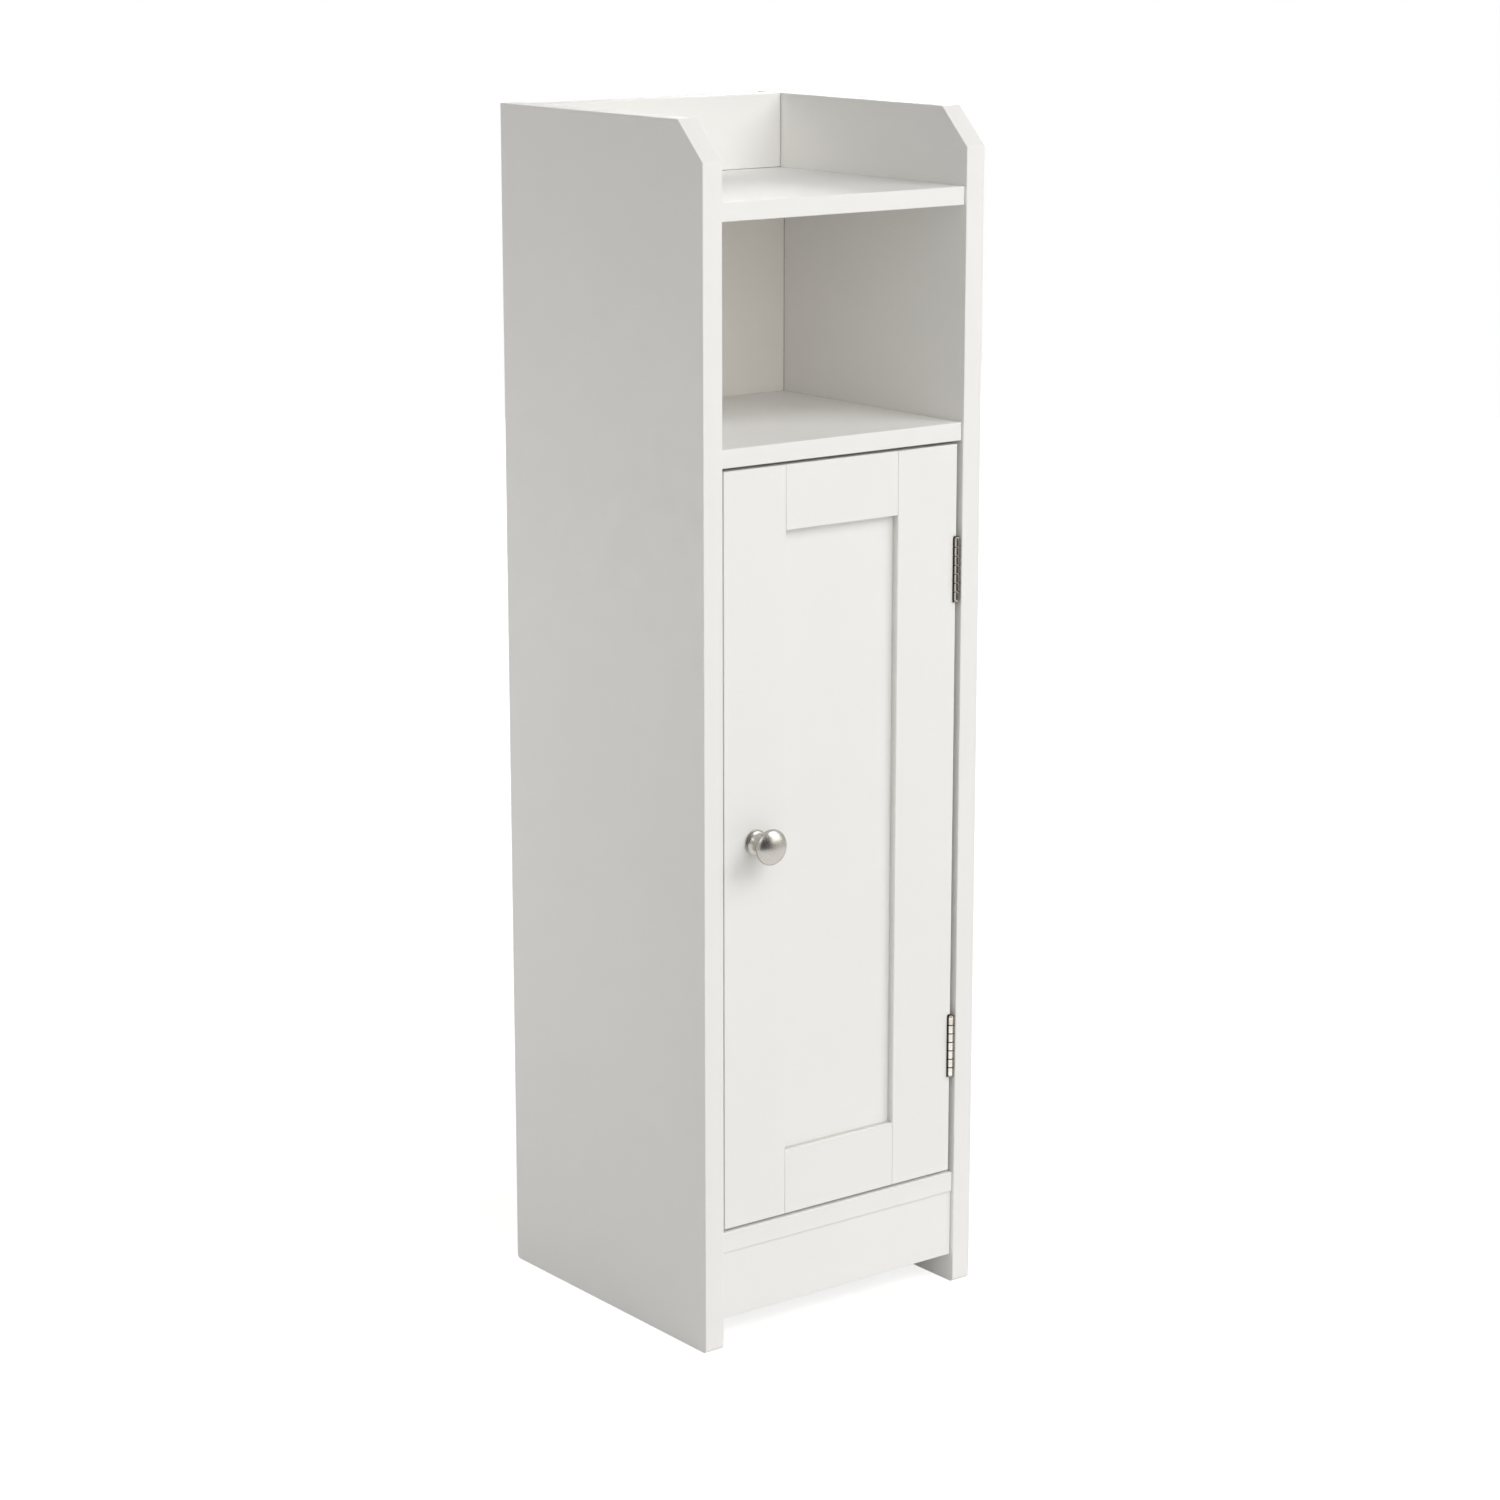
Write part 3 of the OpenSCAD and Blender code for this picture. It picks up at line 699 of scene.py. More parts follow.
def lathe(profile: Profile, steps: int) -> EditMesh:
    """Turns an outline round the Z axis.

    Args:
        profile: (radius, height) points from one end of the axis to the other.
        steps: the number of sides.

    Returns:
        A closed mesh with its faces outwards.
    """
    bm = bmesh.new()
    turn = 2 * math.pi / steps
    rings = []
    for radius, height in profile:
        if radius < TINY:
            rings.append([bm.verts.new((0, 0, height))])
            continue
        rings.append([bm.verts.new((radius * math.cos(i * turn), radius * math.sin(i * turn),
                                    height)) for i in range(steps)])
    for low, high in zip(rings, rings[1:]):
        for i in range(steps):
            ends = [low[i % len(low)], low[(i + 1) % len(low)],
                    high[(i + 1) % len(high)], high[i % len(high)]]
            corners = list(dict.fromkeys(ends))
            if len(corners) > 2:
                bm.faces.new(corners)
    bmesh.ops.recalc_face_normals(bm, faces=bm.faces)
    return bm


def arc(centre: Span, radii: Span, start: float, end: float, steps: int) -> list[Span]:
    """Places points on a part of an ellipse.

    Args:
        centre: the middle of the ellipse.
        radii: its two half widths.
        start: the angle of the first point, in degrees.
        end: the angle of the last point, in degrees.
        steps: the number of steps between them.

    Returns:
        The points.
    """
    points = []
    for i in range(steps + 1):
        angle = math.radians(start + (end - start) * i / steps)
        points.append((centre[0] + radii[0] * math.cos(angle),
                       centre[1] + radii[1] * math.sin(angle)))
    return points


def block(low: Point, high: Point, radius: float = 0.0, steps: int = 2) -> EditMesh:
    """Makes a block with rounded edges.

    Args:
        low: its lowest corner.
        high: its highest corner.
        radius: the radius of its edges, or 0 for plain ones.
        steps: the number of faces across a rounded edge.

    Returns:
        The block.
    """
    bm = bmesh.new()
    bmesh.ops.create_cube(bm, size=1.0)
    for vert in bm.verts:
        vert.co = Vector(high[i] if vert.co[i] > 0 else low[i] for i in range(3))
    if radius > 0:
        bmesh.ops.bevel(bm, geom=bm.edges[:], offset=radius, offset_type="OFFSET",
                        segments=steps, profile=ROUND, affect="EDGES", clamp_overlap=True)
    bmesh.ops.recalc_face_normals(bm, faces=bm.faces)
    return bm


def to_mesh(bm: EditMesh, name: str, place: Optional[Matrix] = None,
            angle: float = SHARP) -> Mesh:
    """Turns an edit mesh into a smooth shaded mesh.

    Args:
        bm: the edit mesh, which is used up.
        name: the mesh's name.
        place: where it is moved to.
        angle: the turn from which an edge stays sharp, in degrees.

    Returns:
        The mesh.
    """
    if place is not None:
        bmesh.ops.transform(bm, matrix=place, verts=bm.verts)
    mesh = bpy.data.meshes.new(name)
    bm.to_mesh(mesh)
    bm.free()
    smooth(mesh, angle)
    return mesh


def carve(target: EditMesh, tools: Iterable[EditMesh]) -> EditMesh:
    """Cuts the shapes of the tools out of a closed mesh.

    Args:
        target: the mesh that is cut.
        tools: the closed meshes that are taken away.

    Returns:
        The mesh that is left.
    """
    obj = object_from("carved", to_mesh(target, "carved"))
    parts = [obj]
    for tool in tools:
        part = object_from("carving_tool", to_mesh(tool, "carving_tool"))
        cut = obj.modifiers.new("cut", "BOOLEAN")
        cut.operation = "DIFFERENCE"
        cut.solver = "EXACT"
        cut.object = part
        parts.append(part)
    left = mesh_of(obj)
    bm = bmesh.new()
    bm.from_mesh(left)
    for part in parts:
        bpy.data.objects.remove(part)
    bpy.data.meshes.remove(left)
    return bm


def merged_copy(node: str) -> EditMesh:
    """Copies a CAD node's mesh, with its loose triangles joined.

    Args:
        node: the CAD node.

    Returns:
        The copy.
    """
    bm = bmesh.new()
    bm.from_mesh(bpy.data.objects[node].data)
    bmesh.ops.remove_doubles(bm, verts=bm.verts, dist=TINY)
    return bm


def clean_copy(node: str) -> EditMesh:
    """Copies a CAD node's mesh, with one face for each flat side.

    Args:
        node: the CAD node.

    Returns:
        The copy.
    """
    bm = merged_copy(node)
    bmesh.ops.dissolve_limit(bm, angle_limit=FLAT, verts=bm.verts, edges=bm.edges,
                             use_dissolve_boundaries=False)
    return bm


def solids(node: str) -> list[tuple[Vector, Vector]]:
    """Measures each separate solid in a CAD node.

    Args:
        node: the CAD node.

    Returns:
        The lowest and highest corner of each, in the order of their lowest corners.
    """
    bm = merged_copy(node)
    left = set(bm.verts)
    boxes = []
    while left:
        group = [left.pop()]
        for vert in group:
            for edge in vert.link_edges:
                other = edge.other_vert(vert)
                if other in left:
                    left.remove(other)
                    group.append(other)
        boxes.append(tuple(Vector(f(v.co[i] for v in group) for i in range(3))
                           for f in (min, max)))
    bm.free()
    return sorted(boxes, key=lambda box: tuple(round(c, SORT_DIGITS) for c in box[0]))


@dataclass
class EasedBoard:
    """A board with the outer edges of its CAD node eased, as paint leaves them.

    A framed board also has the long shoulders of its front and back eased. The trims
    draw in its low and high ends along X, Y and Z. The reaches say how near a point
    is to count as on an end, or in the plane of a face. The least values say from
    which facing, length, turn in degrees and run along an axis an edge is picked.
    """

    node: str
    body: Body
    finish: Finish
    radius: float
    along: tuple[Along, ...] = tuple(Along)
    framed: bool = False
    trim: Sequence[Span] = (NONE, NONE, NONE)
    steps: int = 3
    sharp: float = 42.0
    end_reach: float = 5 * TINY
    plane_reach: float = 10 * TINY
    least_facing: float = 0.9
    least_shoulder: float = 20.0 * MM
    least_turn: float = 25.0
    least_run: float = 0.2

    def open_joints(self, bm: EditMesh) -> None:
        """Draws the board's ends in by its trims, which leaves fine joint lines.

        Args:
            bm: the board.
        """
        for axis, (at_low, at_high) in enumerate(self.trim):
            low = min(v.co[axis] for v in bm.verts)
            high = max(v.co[axis] for v in bm.verts)
            for vert in bm.verts:
                if vert.co[axis] < low + self.end_reach:
                    vert.co[axis] += at_low
                elif vert.co[axis] > high - self.end_reach:
                    vert.co[axis] -= at_high

    def outer_faces(self, bm: EditMesh) -> set[bmesh.types.BMFace]:
        """Finds the faces that no part of the board stands in front of.

        Args:
            bm: the board.

        Returns:
            The faces.
        """
        points = [v.co.copy() for v in bm.verts]
        outer = set()
        for face in bm.faces:
            reach = face.normal.dot(face.calc_center_median()) + self.plane_reach
            if all(face.normal.dot(point) < reach for point in points):
                outer.add(face)
        return outer

    def outer_edges(self, bm: EditMesh) -> list[bmesh.types.BMEdge]:
        """Finds the edges that are eased.

        Args:
            bm: the board.

        Returns:
            The edges.
        """
        outer = self.outer_faces(bm)
        flats = {f for f in outer if self.framed and abs(f.normal.y) > self.least_facing}
        picked = []
        for edge in bm.edges:
            faces = edge.link_faces
            if len(faces) != 2 or edge.calc_face_angle() < math.radians(self.least_turn):
                continue
            shoulder = edge.calc_length() > self.least_shoulder and any(f in flats for f in faces)
            if not shoulder and not all(f in outer for f in faces):
                continue
            run = (edge.verts[1].co - edge.verts[0].co).normalized()
            if any(abs(run[axis.value]) > self.least_run for axis in self.along):
                picked.append(edge)
        return picked

    def mesh(self) -> Mesh:
        """Rounds the outer edges of the CAD node's mesh.

        Returns:
            The board's mesh.
        """
        bm = clean_copy(self.node)
        self.open_joints(bm)
        bmesh.ops.bevel(bm, geom=self.outer_edges(bm), offset=self.radius,
                        offset_type="OFFSET", segments=self.steps, profile=ROUND,
                        affect="EDGES", clamp_overlap=False)
        return to_mesh(bm, self.node, angle=self.sharp)

    def build(self) -> None:
        """Builds, dresses and places the board."""
        obj = object_from(self.node + "_board", self.mesh())
        even_normals(obj)
        finish_piece(obj, self.body, [self.finish], [self.node])


@dataclass
class Carcass:
    """The fixed boards of the cabinet and its loose inner shelf."""

    ease: float = 0.6 * MM
    end_joint: float = 0.2 * MM
    back_joint: float = 0.35 * MM
    shelf_joint: float = 0.5 * MM
    back_groove: float = 1.2 * MM
    # The Y of a normal below which a face of the back panel is on the white side
    white_side: float = -0.5

    def boards(self) -> list[EasedBoard]:
        """Lists the boards with the joint lines that show on each.

        Returns:
            The boards.
        """
        ends = (self.end_joint, self.end_joint)
        corners = (self.back_joint, self.back_joint)
        trims = {
            "side_panel_left": (NONE, NONE, NONE),
            "side_panel_right": (NONE, NONE, NONE),
            "top_shelf": (ends, NONE, NONE),
            "middle_shelf": (ends, (0.0, self.shelf_joint), NONE),
            "bottom_panel": (ends, (0.0, self.back_joint), NONE),
            "inner_shelf": (NONE, NONE, NONE),
            "plinth": (ends, NONE, NONE),
            "tray_back": (corners, NONE, (self.end_joint, 0.0)),
        }
        return [EasedBoard(node, Body.CABINET, PAINT, self.ease, trim=trim)
                for node, trim in trims.items()]

    def back_panel(self) -> None:
        """Builds the thin back panel, coated white on its inner face only."""
        low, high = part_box("back_panel")
        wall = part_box("side_panel_right")[0].x
        lines = []
        for side in (-1, 1):
            left, right = sorted((side * wall, side * (wall - self.back_joint)))
            lines.append(block((left, low.y - PAST, low.z - PAST),
                               (right, low.y + self.back_groove, high.z + PAST)))
        bm = carve(clean_copy("back_panel"), lines)
        obj = object_from("back_panel_sheet", to_mesh(bm, "back_panel_sheet"))
        finish_piece(obj, Body.CABINET, [HARDBOARD, INSIDE_PAINT], ["back_panel"])
        for face in obj.data.polygons:
            face.material_index = int(face.normal.y < self.white_side)

    def build(self) -> None:
        """Builds every board."""
        for board in self.boards():
            board.build()
        self.back_panel()


@dataclass
class PanelDoor:
    """The door: two uprights, two cross members and the panel held in their grooves."""

    edge: float = 0.35 * MM
    joint: float = 0.2 * MM

    def build(self) -> None:
        """Builds the door's five boards."""
        ends = (self.joint, self.joint)
        members = {"door_stile_left": NONE, "door_stile_right": NONE,
                   "door_rail_top": ends, "door_rail_bottom": ends}
        for node, across in members.items():
            EasedBoard(node, Body.DOOR, PAINT, self.edge, (Along.X, Along.Z), framed=True,
                       trim=(across, NONE, NONE)).build()
        EasedBoard("door_panel", Body.DOOR, PAINT, self.edge, (Along.X,)).build()


@dataclass
class RoundKnob:
    """The round knob on its flared foot."""

    head: float = 11.85 * MM
    reach: float = 22.0 * MM
    dome: float = 4.9 * MM
    under: float = 4.3 * MM
    foot: float = 8.4 * MM
    foot_rim: float = 1.3 * MM
    shoulder: float = 0.7 * MM
    cove: float = 6.6 * MM
    neck: float = 4.0 * MM
    ease: float = 0.25 * MM
    # The degrees that are left out where two curves meet at the head's rim and the neck
    blunt: float = 4.0
    ease_steps: int = 4
    curve_steps: int = 20
    dome_steps: int = 28
    steps: int = 96

    def outline(self) -> Profile:
        """Draws half of the knob's section.

        Returns:
            Its points, from the door's face to the knob's front.
        """
        widest = self.reach - self.dome
        ease = self.ease
        hollow = self.foot - self.shoulder
        rim = [(0.0, 0.0), (self.foot - ease, 0.0)]
        rim += arc((self.foot - ease, ease), (ease, ease), -90, 0, self.ease_steps)
        rim += arc((self.foot - ease, self.foot_rim - ease), (ease, ease), 0, 90,
                   self.ease_steps)
        cove = arc((hollow, self.foot_rim + self.cove), (hollow - self.neck, self.cove),
                   270, 180, self.curve_steps)
        under = arc((self.neck, widest), (self.head - self.neck, self.under),
                    270 + self.blunt, 360 - self.blunt, self.curve_steps)
        front = arc((0.0, widest), (self.head, self.dome), self.blunt, 90, self.dome_steps)
        front[-1] = (0.0, self.reach)
        return rim + cove + under + [(self.head, widest)] + front

    def build(self) -> None:
        """Builds the knob on the door's face."""
        low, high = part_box("knob")
        place = Matrix.Translation(((low.x + high.x) / 2, high.y, (low.z + high.z) / 2))
        place = place @ Matrix.Rotation(math.radians(90), 4, "X")
        mesh = to_mesh(lathe(self.outline(), self.steps), "knob", place, METAL_SHARP)
        finish_piece(object_from("round_knob", mesh), Body.DOOR, [KNOB_NICKEL], ["knob"])


class NodeRule:
    """A Geometry Nodes tree with named inputs, which ends in plain dressed meshes."""

    NAME = ""
    INPUTS: dict[str, str] = {}

    def __init__(self) -> None:
        """Finds the node tree, or builds it once."""
        self.tree = bpy.data.node_groups.get(self.NAME) or self.make_tree()

    def instances(self, sheet: Sheet, given: Sockets) -> Socket:
        """Returns the instances that this rule makes from the tree's inputs."""
        raise NotImplementedError

    def make_tree(self) -> bpy.types.NodeTree:
        """Builds the tree.

        Returns:
            The tree.
        """
        tree = bpy.data.node_groups.new(self.NAME, "GeometryNodeTree")
        for name, kind in self.INPUTS.items():
            tree.interface.new_socket(name, in_out="INPUT", socket_type="NodeSocket" + kind)
        tree.interface.new_socket("Pieces", in_out="OUTPUT", socket_type="NodeSocketGeometry")
        sheet = Sheet(tree)
        given = sheet.add("NodeGroupInput").outputs
        real = sheet.add("GeometryNodeRealizeInstances", Geometry=self.instances(sheet, given))
        dressed = sheet.add("GeometryNodeSetMaterial", Geometry=real.outputs[0],
                            Material=given["Finish"])
        sheet.add("NodeGroupOutput", Pieces=dressed.outputs[0])
        return tree

    def bake_on(self, obj: Object, values: dict[str, object]) -> None:
        """Runs the tree on an object, and keeps the result as its plain mesh.

        Args:
            obj: the object.
            values: the tree's inputs by name.
        """
        run = obj.modifiers.new(self.NAME, "NODES")
        run.node_group = self.tree
        for item in self.tree.interface.items_tree:
            if item.in_out == "INPUT" and item.name in values:
                run[item.identifier] = values[item.name]
        obj.update_tag()
        bpy.context.view_layer.update()
        bake(obj)


@dataclass(frozen=True)
class Place:
    """Where a fitting goes, which way its outer end points and how far it is turned."""

    point: Point
    aim: Point
    turn: float = 0.0


class Scatter(NodeRule):
    """Geometry Nodes that put one fitting on each of a set of points."""

    NAME = "fittings_on_points"
    INPUTS = {"Points": "Geometry", "Fitting": "Object", "Finish": "Material",
              "Largest turn": "Float", "Seed": "Int"}
    # The random value node's sockets for plain numbers
    LEAST, LARGEST, CHANCE = 2, 3, 1

    def instances(self, sheet: Sheet, given: Sockets) -> Socket:
        """Puts the fitting on the points, aimed and turned.

        Args:
            sheet: the tree's nodes.
            given: the tree's inputs by name.

        Returns:
            The instances.
        """
        fitting = sheet.add("GeometryNodeObjectInfo", Object=given["Fitting"])
        chance = sheet.add("FunctionNodeRandomValue", {"data_type": "FLOAT"}, Seed=given["Seed"])
        sheet.feed(chance.inputs[self.LEAST], 0.0)
        sheet.feed(chance.inputs[self.LARGEST], given["Largest turn"])
        way = sheet.add("GeometryNodeInputNamedAttribute", {"data_type": "FLOAT_VECTOR"},
                        Name="aim")
        own = sheet.add("GeometryNodeInputNamedAttribute", {"data_type": "FLOAT"}, Name="turn")
        aim = sheet.add("FunctionNodeAlignRotationToVector", {"axis": "Z"},
                        Vector=way.outputs[0])
        turn = sheet.maths("ADD", own.outputs[0], chance.outputs[self.CHANCE])
        spin = sheet.add("FunctionNodeAxisAngleToRotation", Axis=(0, 0, 1), Angle=turn)
        both = sheet.add("FunctionNodeRotateRotation", {"rotation_space": "LOCAL"},
                         Rotation=aim.outputs[0], Rotate_By=spin.outputs[0])
        return sheet.add("GeometryNodeInstanceOnPoints", Points=given["Points"],
                         Instance=fitting.outputs["Geometry"],
                         Rotation=both.outputs[0]).outputs[0]

    def run(self, name: str, fitting: Mesh, places: Sequence[Place], finish: Finish,
            largest_turn: float, seed: int) -> Object:
        """Puts a fitting on each place and bakes the result.

        Args:
            name: the name of the new object.
            fitting: the fitting's mesh, along +Z from its own origin.
            places: where each fitting goes, and which way it points.
            finish: the finish of all of them.
            largest_turn: how far one may be turned about its own axis, in radians.
            seed: the seed of those turns.

        Returns:
            The fittings in one plain mesh.
        """
        points = bpy.data.meshes.new(name)
        points.from_pydata([place.point for place in places], [], [])
        points.attributes.new("aim", "FLOAT_VECTOR", "POINT")
        points.attributes.new("turn", "FLOAT", "POINT")
        for i, place in enumerate(places):
            points.attributes["aim"].data[i].vector = place.aim
            points.attributes["turn"].data[i].value = place.turn
        template = object_from(name + "_one", fitting)
        obj = object_from(name, points)
        self.bake_on(obj, {"Fitting": template, "Finish": finish.material(),
                           "Largest turn": float(largest_turn), "Seed": seed})
        bpy.data.objects.remove(template)
        smooth(obj.data)
        return obj


@dataclass
class CrossScrew:
    """A wood or machine screw with a cross recess; its head's top faces +Z.

    A screw whose head has no rise is countersunk. The recess is a share of the head's
    radius. The tip is as long as some radii of the shank, and the share of it gives
    the place and the radius of its shoulder. The core is a share of the shank's radius,
    the thread's places are shares of a turn, and the head's side and bend are shares
    of its rise.
    """

    shank: float
    length: float
    head: float
    rise: float = 0.0
    recess: float = 0.5
    depth: float = 1.3 * MM
    wing: float = 0.8 * MM
    wing_taper: Span = (0.45, 0.7)
    turns: int = 10
    tip: float = 2.2
    tip_share: float = 0.6
    core: float = 0.78
    thread_low: float = 0.1
    thread_high: float = 0.5
    rim: float = 0.06 * MM
    edge: float = 0.1 * MM
    head_side: float = 0.35
    head_bend: float = 0.55
    head_end: float = 78.0
    head_steps: int = 6
    steps: int = 32

    def sink(self) -> float:
        """Returns how deep the head's cone goes into the wood."""
        return self.head - self.shank if self.rise == 0 else 0.0

    def outline(self) -> Profile:
        """Draws half of the screw's section.

        Returns:
            Its points, from the tip to the top of the head.
        """
        tip = self.tip * self.shank
        step = (self.length - tip - self.sink()) / self.turns
        points = [(0.0, -self.length),
                  (self.shank * self.tip_share, -self.length + self.tip_share * tip)]
        for i in range(self.turns):
            low = -self.length + tip + i * step
            points += [(self.shank * self.core, low + self.thread_low * step),
                       (self.shank, low + self.thread_high * step)]
        return points + self.head_outline()

    def head_outline(self) -> Profile:
        """Draws half of the head's section.

        Returns:
            Its points, from the shank to the top.
        """
        if self.rise == 0:
            return [(self.shank, -self.sink()), (self.head - self.edge, -2 * self.rim),
                    (self.head, -self.rim), (self.head - self.rim, 0.0), (0.0, 0.0)]
        side = self.head_side * self.rise
        bend = self.head_bend * self.rise
        crown = arc((self.head - bend, side), (bend, self.rise - side), 0, self.head_end,
                    self.head_steps)
        foot = [(self.shank, 0.0), (self.head - self.edge, 0.0), (self.head, self.edge)]
        return foot + crown + [(0.0, self.rise)]

    def mesh(self) -> Mesh:
        """Turns the screw and cuts its recess.

        Returns:
            The screw's mesh.
        """
        reach = self.recess * self.head
        wings = []
        for quarter in (0, 90):
            wing = block((-reach, -self.wing / 2, self.rise - self.depth),
                         (reach, self.wing / 2, self.rise + self.depth))
            for vert in wing.verts:
                if vert.co.z < self.rise:
                    vert.co.x *= self.wing_taper[0]
                    vert.co.y *= self.wing_taper[1]
            bmesh.ops.rotate(wing, matrix=Matrix.Rotation(math.radians(quarter), 3, "Z"),
                             verts=wing.verts)
            wings.append(wing)
        body = lathe(self.outline(), self.steps)
        return to_mesh(carve(body, wings), "cross_screw", angle=METAL_SHARP)


@dataclass
class BackNail:
    """A nail with a slightly domed head, whose top faces +Z."""

    head: float
    length: float
    shank: float = 0.7 * MM
    point: float = 0.25 * MM
    tip: float = 2.8 * MM
    rise: float = 0.7 * MM
    rim: float = 0.15 * MM
    rim_height: float = 0.18 * MM
    dome: float = 0.28 * MM
    dome_edge: float = 0.12 * MM
    crown: float = 0.06 * MM
    crown_share: float = 0.62
    sharp: float = 50.0
    steps: int = 20

    def mesh(self) -> Mesh:
        """Turns the nail.

        Returns:
            The nail's mesh.
        """
        outline = [(0.0, -self.length), (self.point, -self.length + self.tip / 2),
                   (self.shank, -self.length + self.tip), (self.shank, -self.rise),
                   (self.head - self.rim, -self.rise), (self.head, -self.rise + self.rim_height),
                   (self.head - self.dome_edge, -self.dome),
                   (self.crown_share * self.head, -self.crown), (0.0, 0.0)]
        return to_mesh(lathe(outline, self.steps), "nail", angle=self.sharp)


@dataclass
class CamLock:
    """A cam lock: a drum with a cross slot below and a pocket open towards +X."""

    radius: float
    height: float
    ease: float = 0.3 * MM
    slot: float = 0.75 * MM
    slot_reach: float = 3.4 * MM
    slot_depth: float = 2.6 * MM
    pocket: float = 3.1 * MM
    pocket_height: float = 5.3 * MM
    steps: int = 48

    def mesh(self) -> Mesh:
        """Turns the drum and cuts its slots and its pocket.

        Returns:
            The lock's mesh.
        """
        inner = self.radius - self.ease
        outline = [(0.0, 0.0), (inner, 0.0), (self.radius, self.ease),
                   (self.radius, self.height - self.ease), (inner, self.height),
                   (0.0, self.height)]
        tools = [block((-across, -along, -PAST), (across, along, self.slot_depth))
                 for across, along in ((self.slot_reach, self.slot),
                                       (self.slot, self.slot_reach))]
        tools.append(block((-self.pocket, -self.pocket, self.pocket_height - self.pocket),
                           (self.radius * 2, self.pocket, self.height * 2)))
        return to_mesh(carve(lathe(outline, self.steps), tools), "cam_lock", angle=METAL_SHARP)


@dataclass
class ShelfPin:
    """A stepped pin whose collar rests on the side panel's face, with +Z outwards."""

    radius: float = 2.5 * MM
    inside: float = 8.0 * MM
    outside: float = 9.0 * MM
    inside_ease: float = 0.4 * MM
    collar: float = 3.6 * MM
    collar_height: float = 1.2 * MM
    collar_low_ease: float = 0.15 * MM
    collar_ease: float = 0.25 * MM
    end_ease: float = 0.6 * MM
    end_steps: int = 4
    steps: int = 36

    def mesh(self) -> Mesh:
        """Turns the pin.

        Returns:
            The pin's mesh.
        """
        ease = self.end_ease
        outline = [(0.0, -self.inside), (self.radius - self.inside_ease, -self.inside),
                   (self.radius, -self.inside + self.inside_ease), (self.radius, 0.0),
                   (self.collar - self.collar_low_ease, 0.0),
                   (self.collar, self.collar_low_ease),
                   (self.collar, self.collar_height - self.collar_ease),
                   (self.collar - self.collar_ease, self.collar_height),
                   (self.radius, self.collar_height)]
        outline += arc((self.radius - ease, self.outside - ease), (ease, ease), 0, 90,
                       self.end_steps)
        outline.append((0.0, self.outside))
        return to_mesh(lathe(outline, self.steps), "shelf_pin", angle=METAL_SHARP)


class KnuckleStack(NodeRule):
    """Geometry Nodes that roll the knuckles of one leaf and stack them along the pin."""

    NAME = "knuckle_stack"
    SIZES = ("Barrel radius", "Bore radius", "Knuckle height", "Rounding", "Leaf thickness",
             "Tab start", "Tab end", "Plate offset", "Pitch")
    INPUTS = {"Geometry": "Geometry", **dict.fromkeys(SIZES, "Float"), "Count": "Int",
              "Start": "Vector", "Finish": "Material"}
    CORNER_POINTS = 3
    ROUND_POINTS = 56

    def sweep(self, sheet: Sheet, given: Sockets, path: Node, width: Socket) -> Socket:
        """Moves a rounded rectangle, as high as a knuckle, along a path.

        Args:
            sheet: the tree's nodes.
            given: the tree's inputs by name.
            path: the node that makes the path.
            width: the rectangle's width.

        Returns:
            The closed shape.
        """
        flat = sheet.add("GeometryNodeCurvePrimitiveQuadrilateral", Width=width,
                         Height=given["Knuckle height"])
        eased = sheet.add("GeometryNodeFilletCurve", {"mode": "POLY"}, Curve=flat.outputs[0],
                          Count=self.CORNER_POINTS, Radius=given["Rounding"])
        return sheet.add("GeometryNodeCurveToMesh", Curve=path.outputs[0],
                         Profile_Curve=eased.outputs[0], Fill_Caps=True).outputs[0]

    def ring(self, sheet: Sheet, given: Sockets) -> Socket:
        """Makes one rolled knuckle, centred on the origin.

        Args:
            sheet: the tree's nodes.
            given: the tree's inputs by name.

        Returns:
            The knuckle.
        """
        walls = (given["Barrel radius"], given["Bore radius"])
        middle = sheet.maths("MULTIPLY", sheet.maths("ADD", *walls), 0.5)
        path = sheet.add("GeometryNodeCurvePrimitiveCircle", {"mode": "RADIUS"},
                         Resolution=self.ROUND_POINTS, Radius=middle)
        return self.sweep(sheet, given, path, sheet.maths("SUBTRACT", *walls))

    def tab(self, sheet: Sheet, given: Sockets) -> Socket:
        """Makes the flat part that joins a knuckle to the leaf's plate.

        Args:
            sheet: the tree's nodes.
            given: the tree's inputs by name.

        Returns:
            The tab.
        """
        half = sheet.maths("MULTIPLY", given["Leaf thickness"], 0.5)
        across = sheet.maths("ADD", given["Plate offset"], half)
        start, end = (sheet.add("ShaderNodeCombineXYZ", X=across, Y=given[name]).outputs[0]
                      for name in ("Tab start", "Tab end"))
        path = sheet.add("GeometryNodeCurvePrimitiveLine", Start=start, End=end)
        return self.sweep(sheet, given, path, given["Leaf thickness"])

    def instances(self, sheet: Sheet, given: Sockets) -> Socket:
        """Stacks the knuckles with their tabs.

        Args:
            sheet: the tree's nodes.
            given: the tree's inputs by name.

        Returns:
            The instances.
        """
        both = sheet.add("GeometryNodeJoinGeometry")
        for part in (self.ring(sheet, given), self.tab(sheet, given)):
            sheet.feed(both.inputs[0], part)
        step = sheet.add("ShaderNodeCombineXYZ", Z=given["Pitch"])
        line = sheet.add("GeometryNodeMeshLine", Count=given["Count"],
                         Start_Location=given["Start"], Offset=step.outputs[0])
        return sheet.add("GeometryNodeInstanceOnPoints", Points=line.outputs[0],
                         Instance=both.outputs[0]).outputs[0]

    def run(self, name: str, values: dict[str, object]) -> Object:
        """Makes the knuckles of one leaf.

        Args:
            name: the name of the new object.
            values: the tree's inputs by name.

        Returns:
            The knuckles in one plain mesh.
        """
        obj = object_from(name, bpy.data.meshes.new(name))
        self.bake_on(obj, values)
        return obj


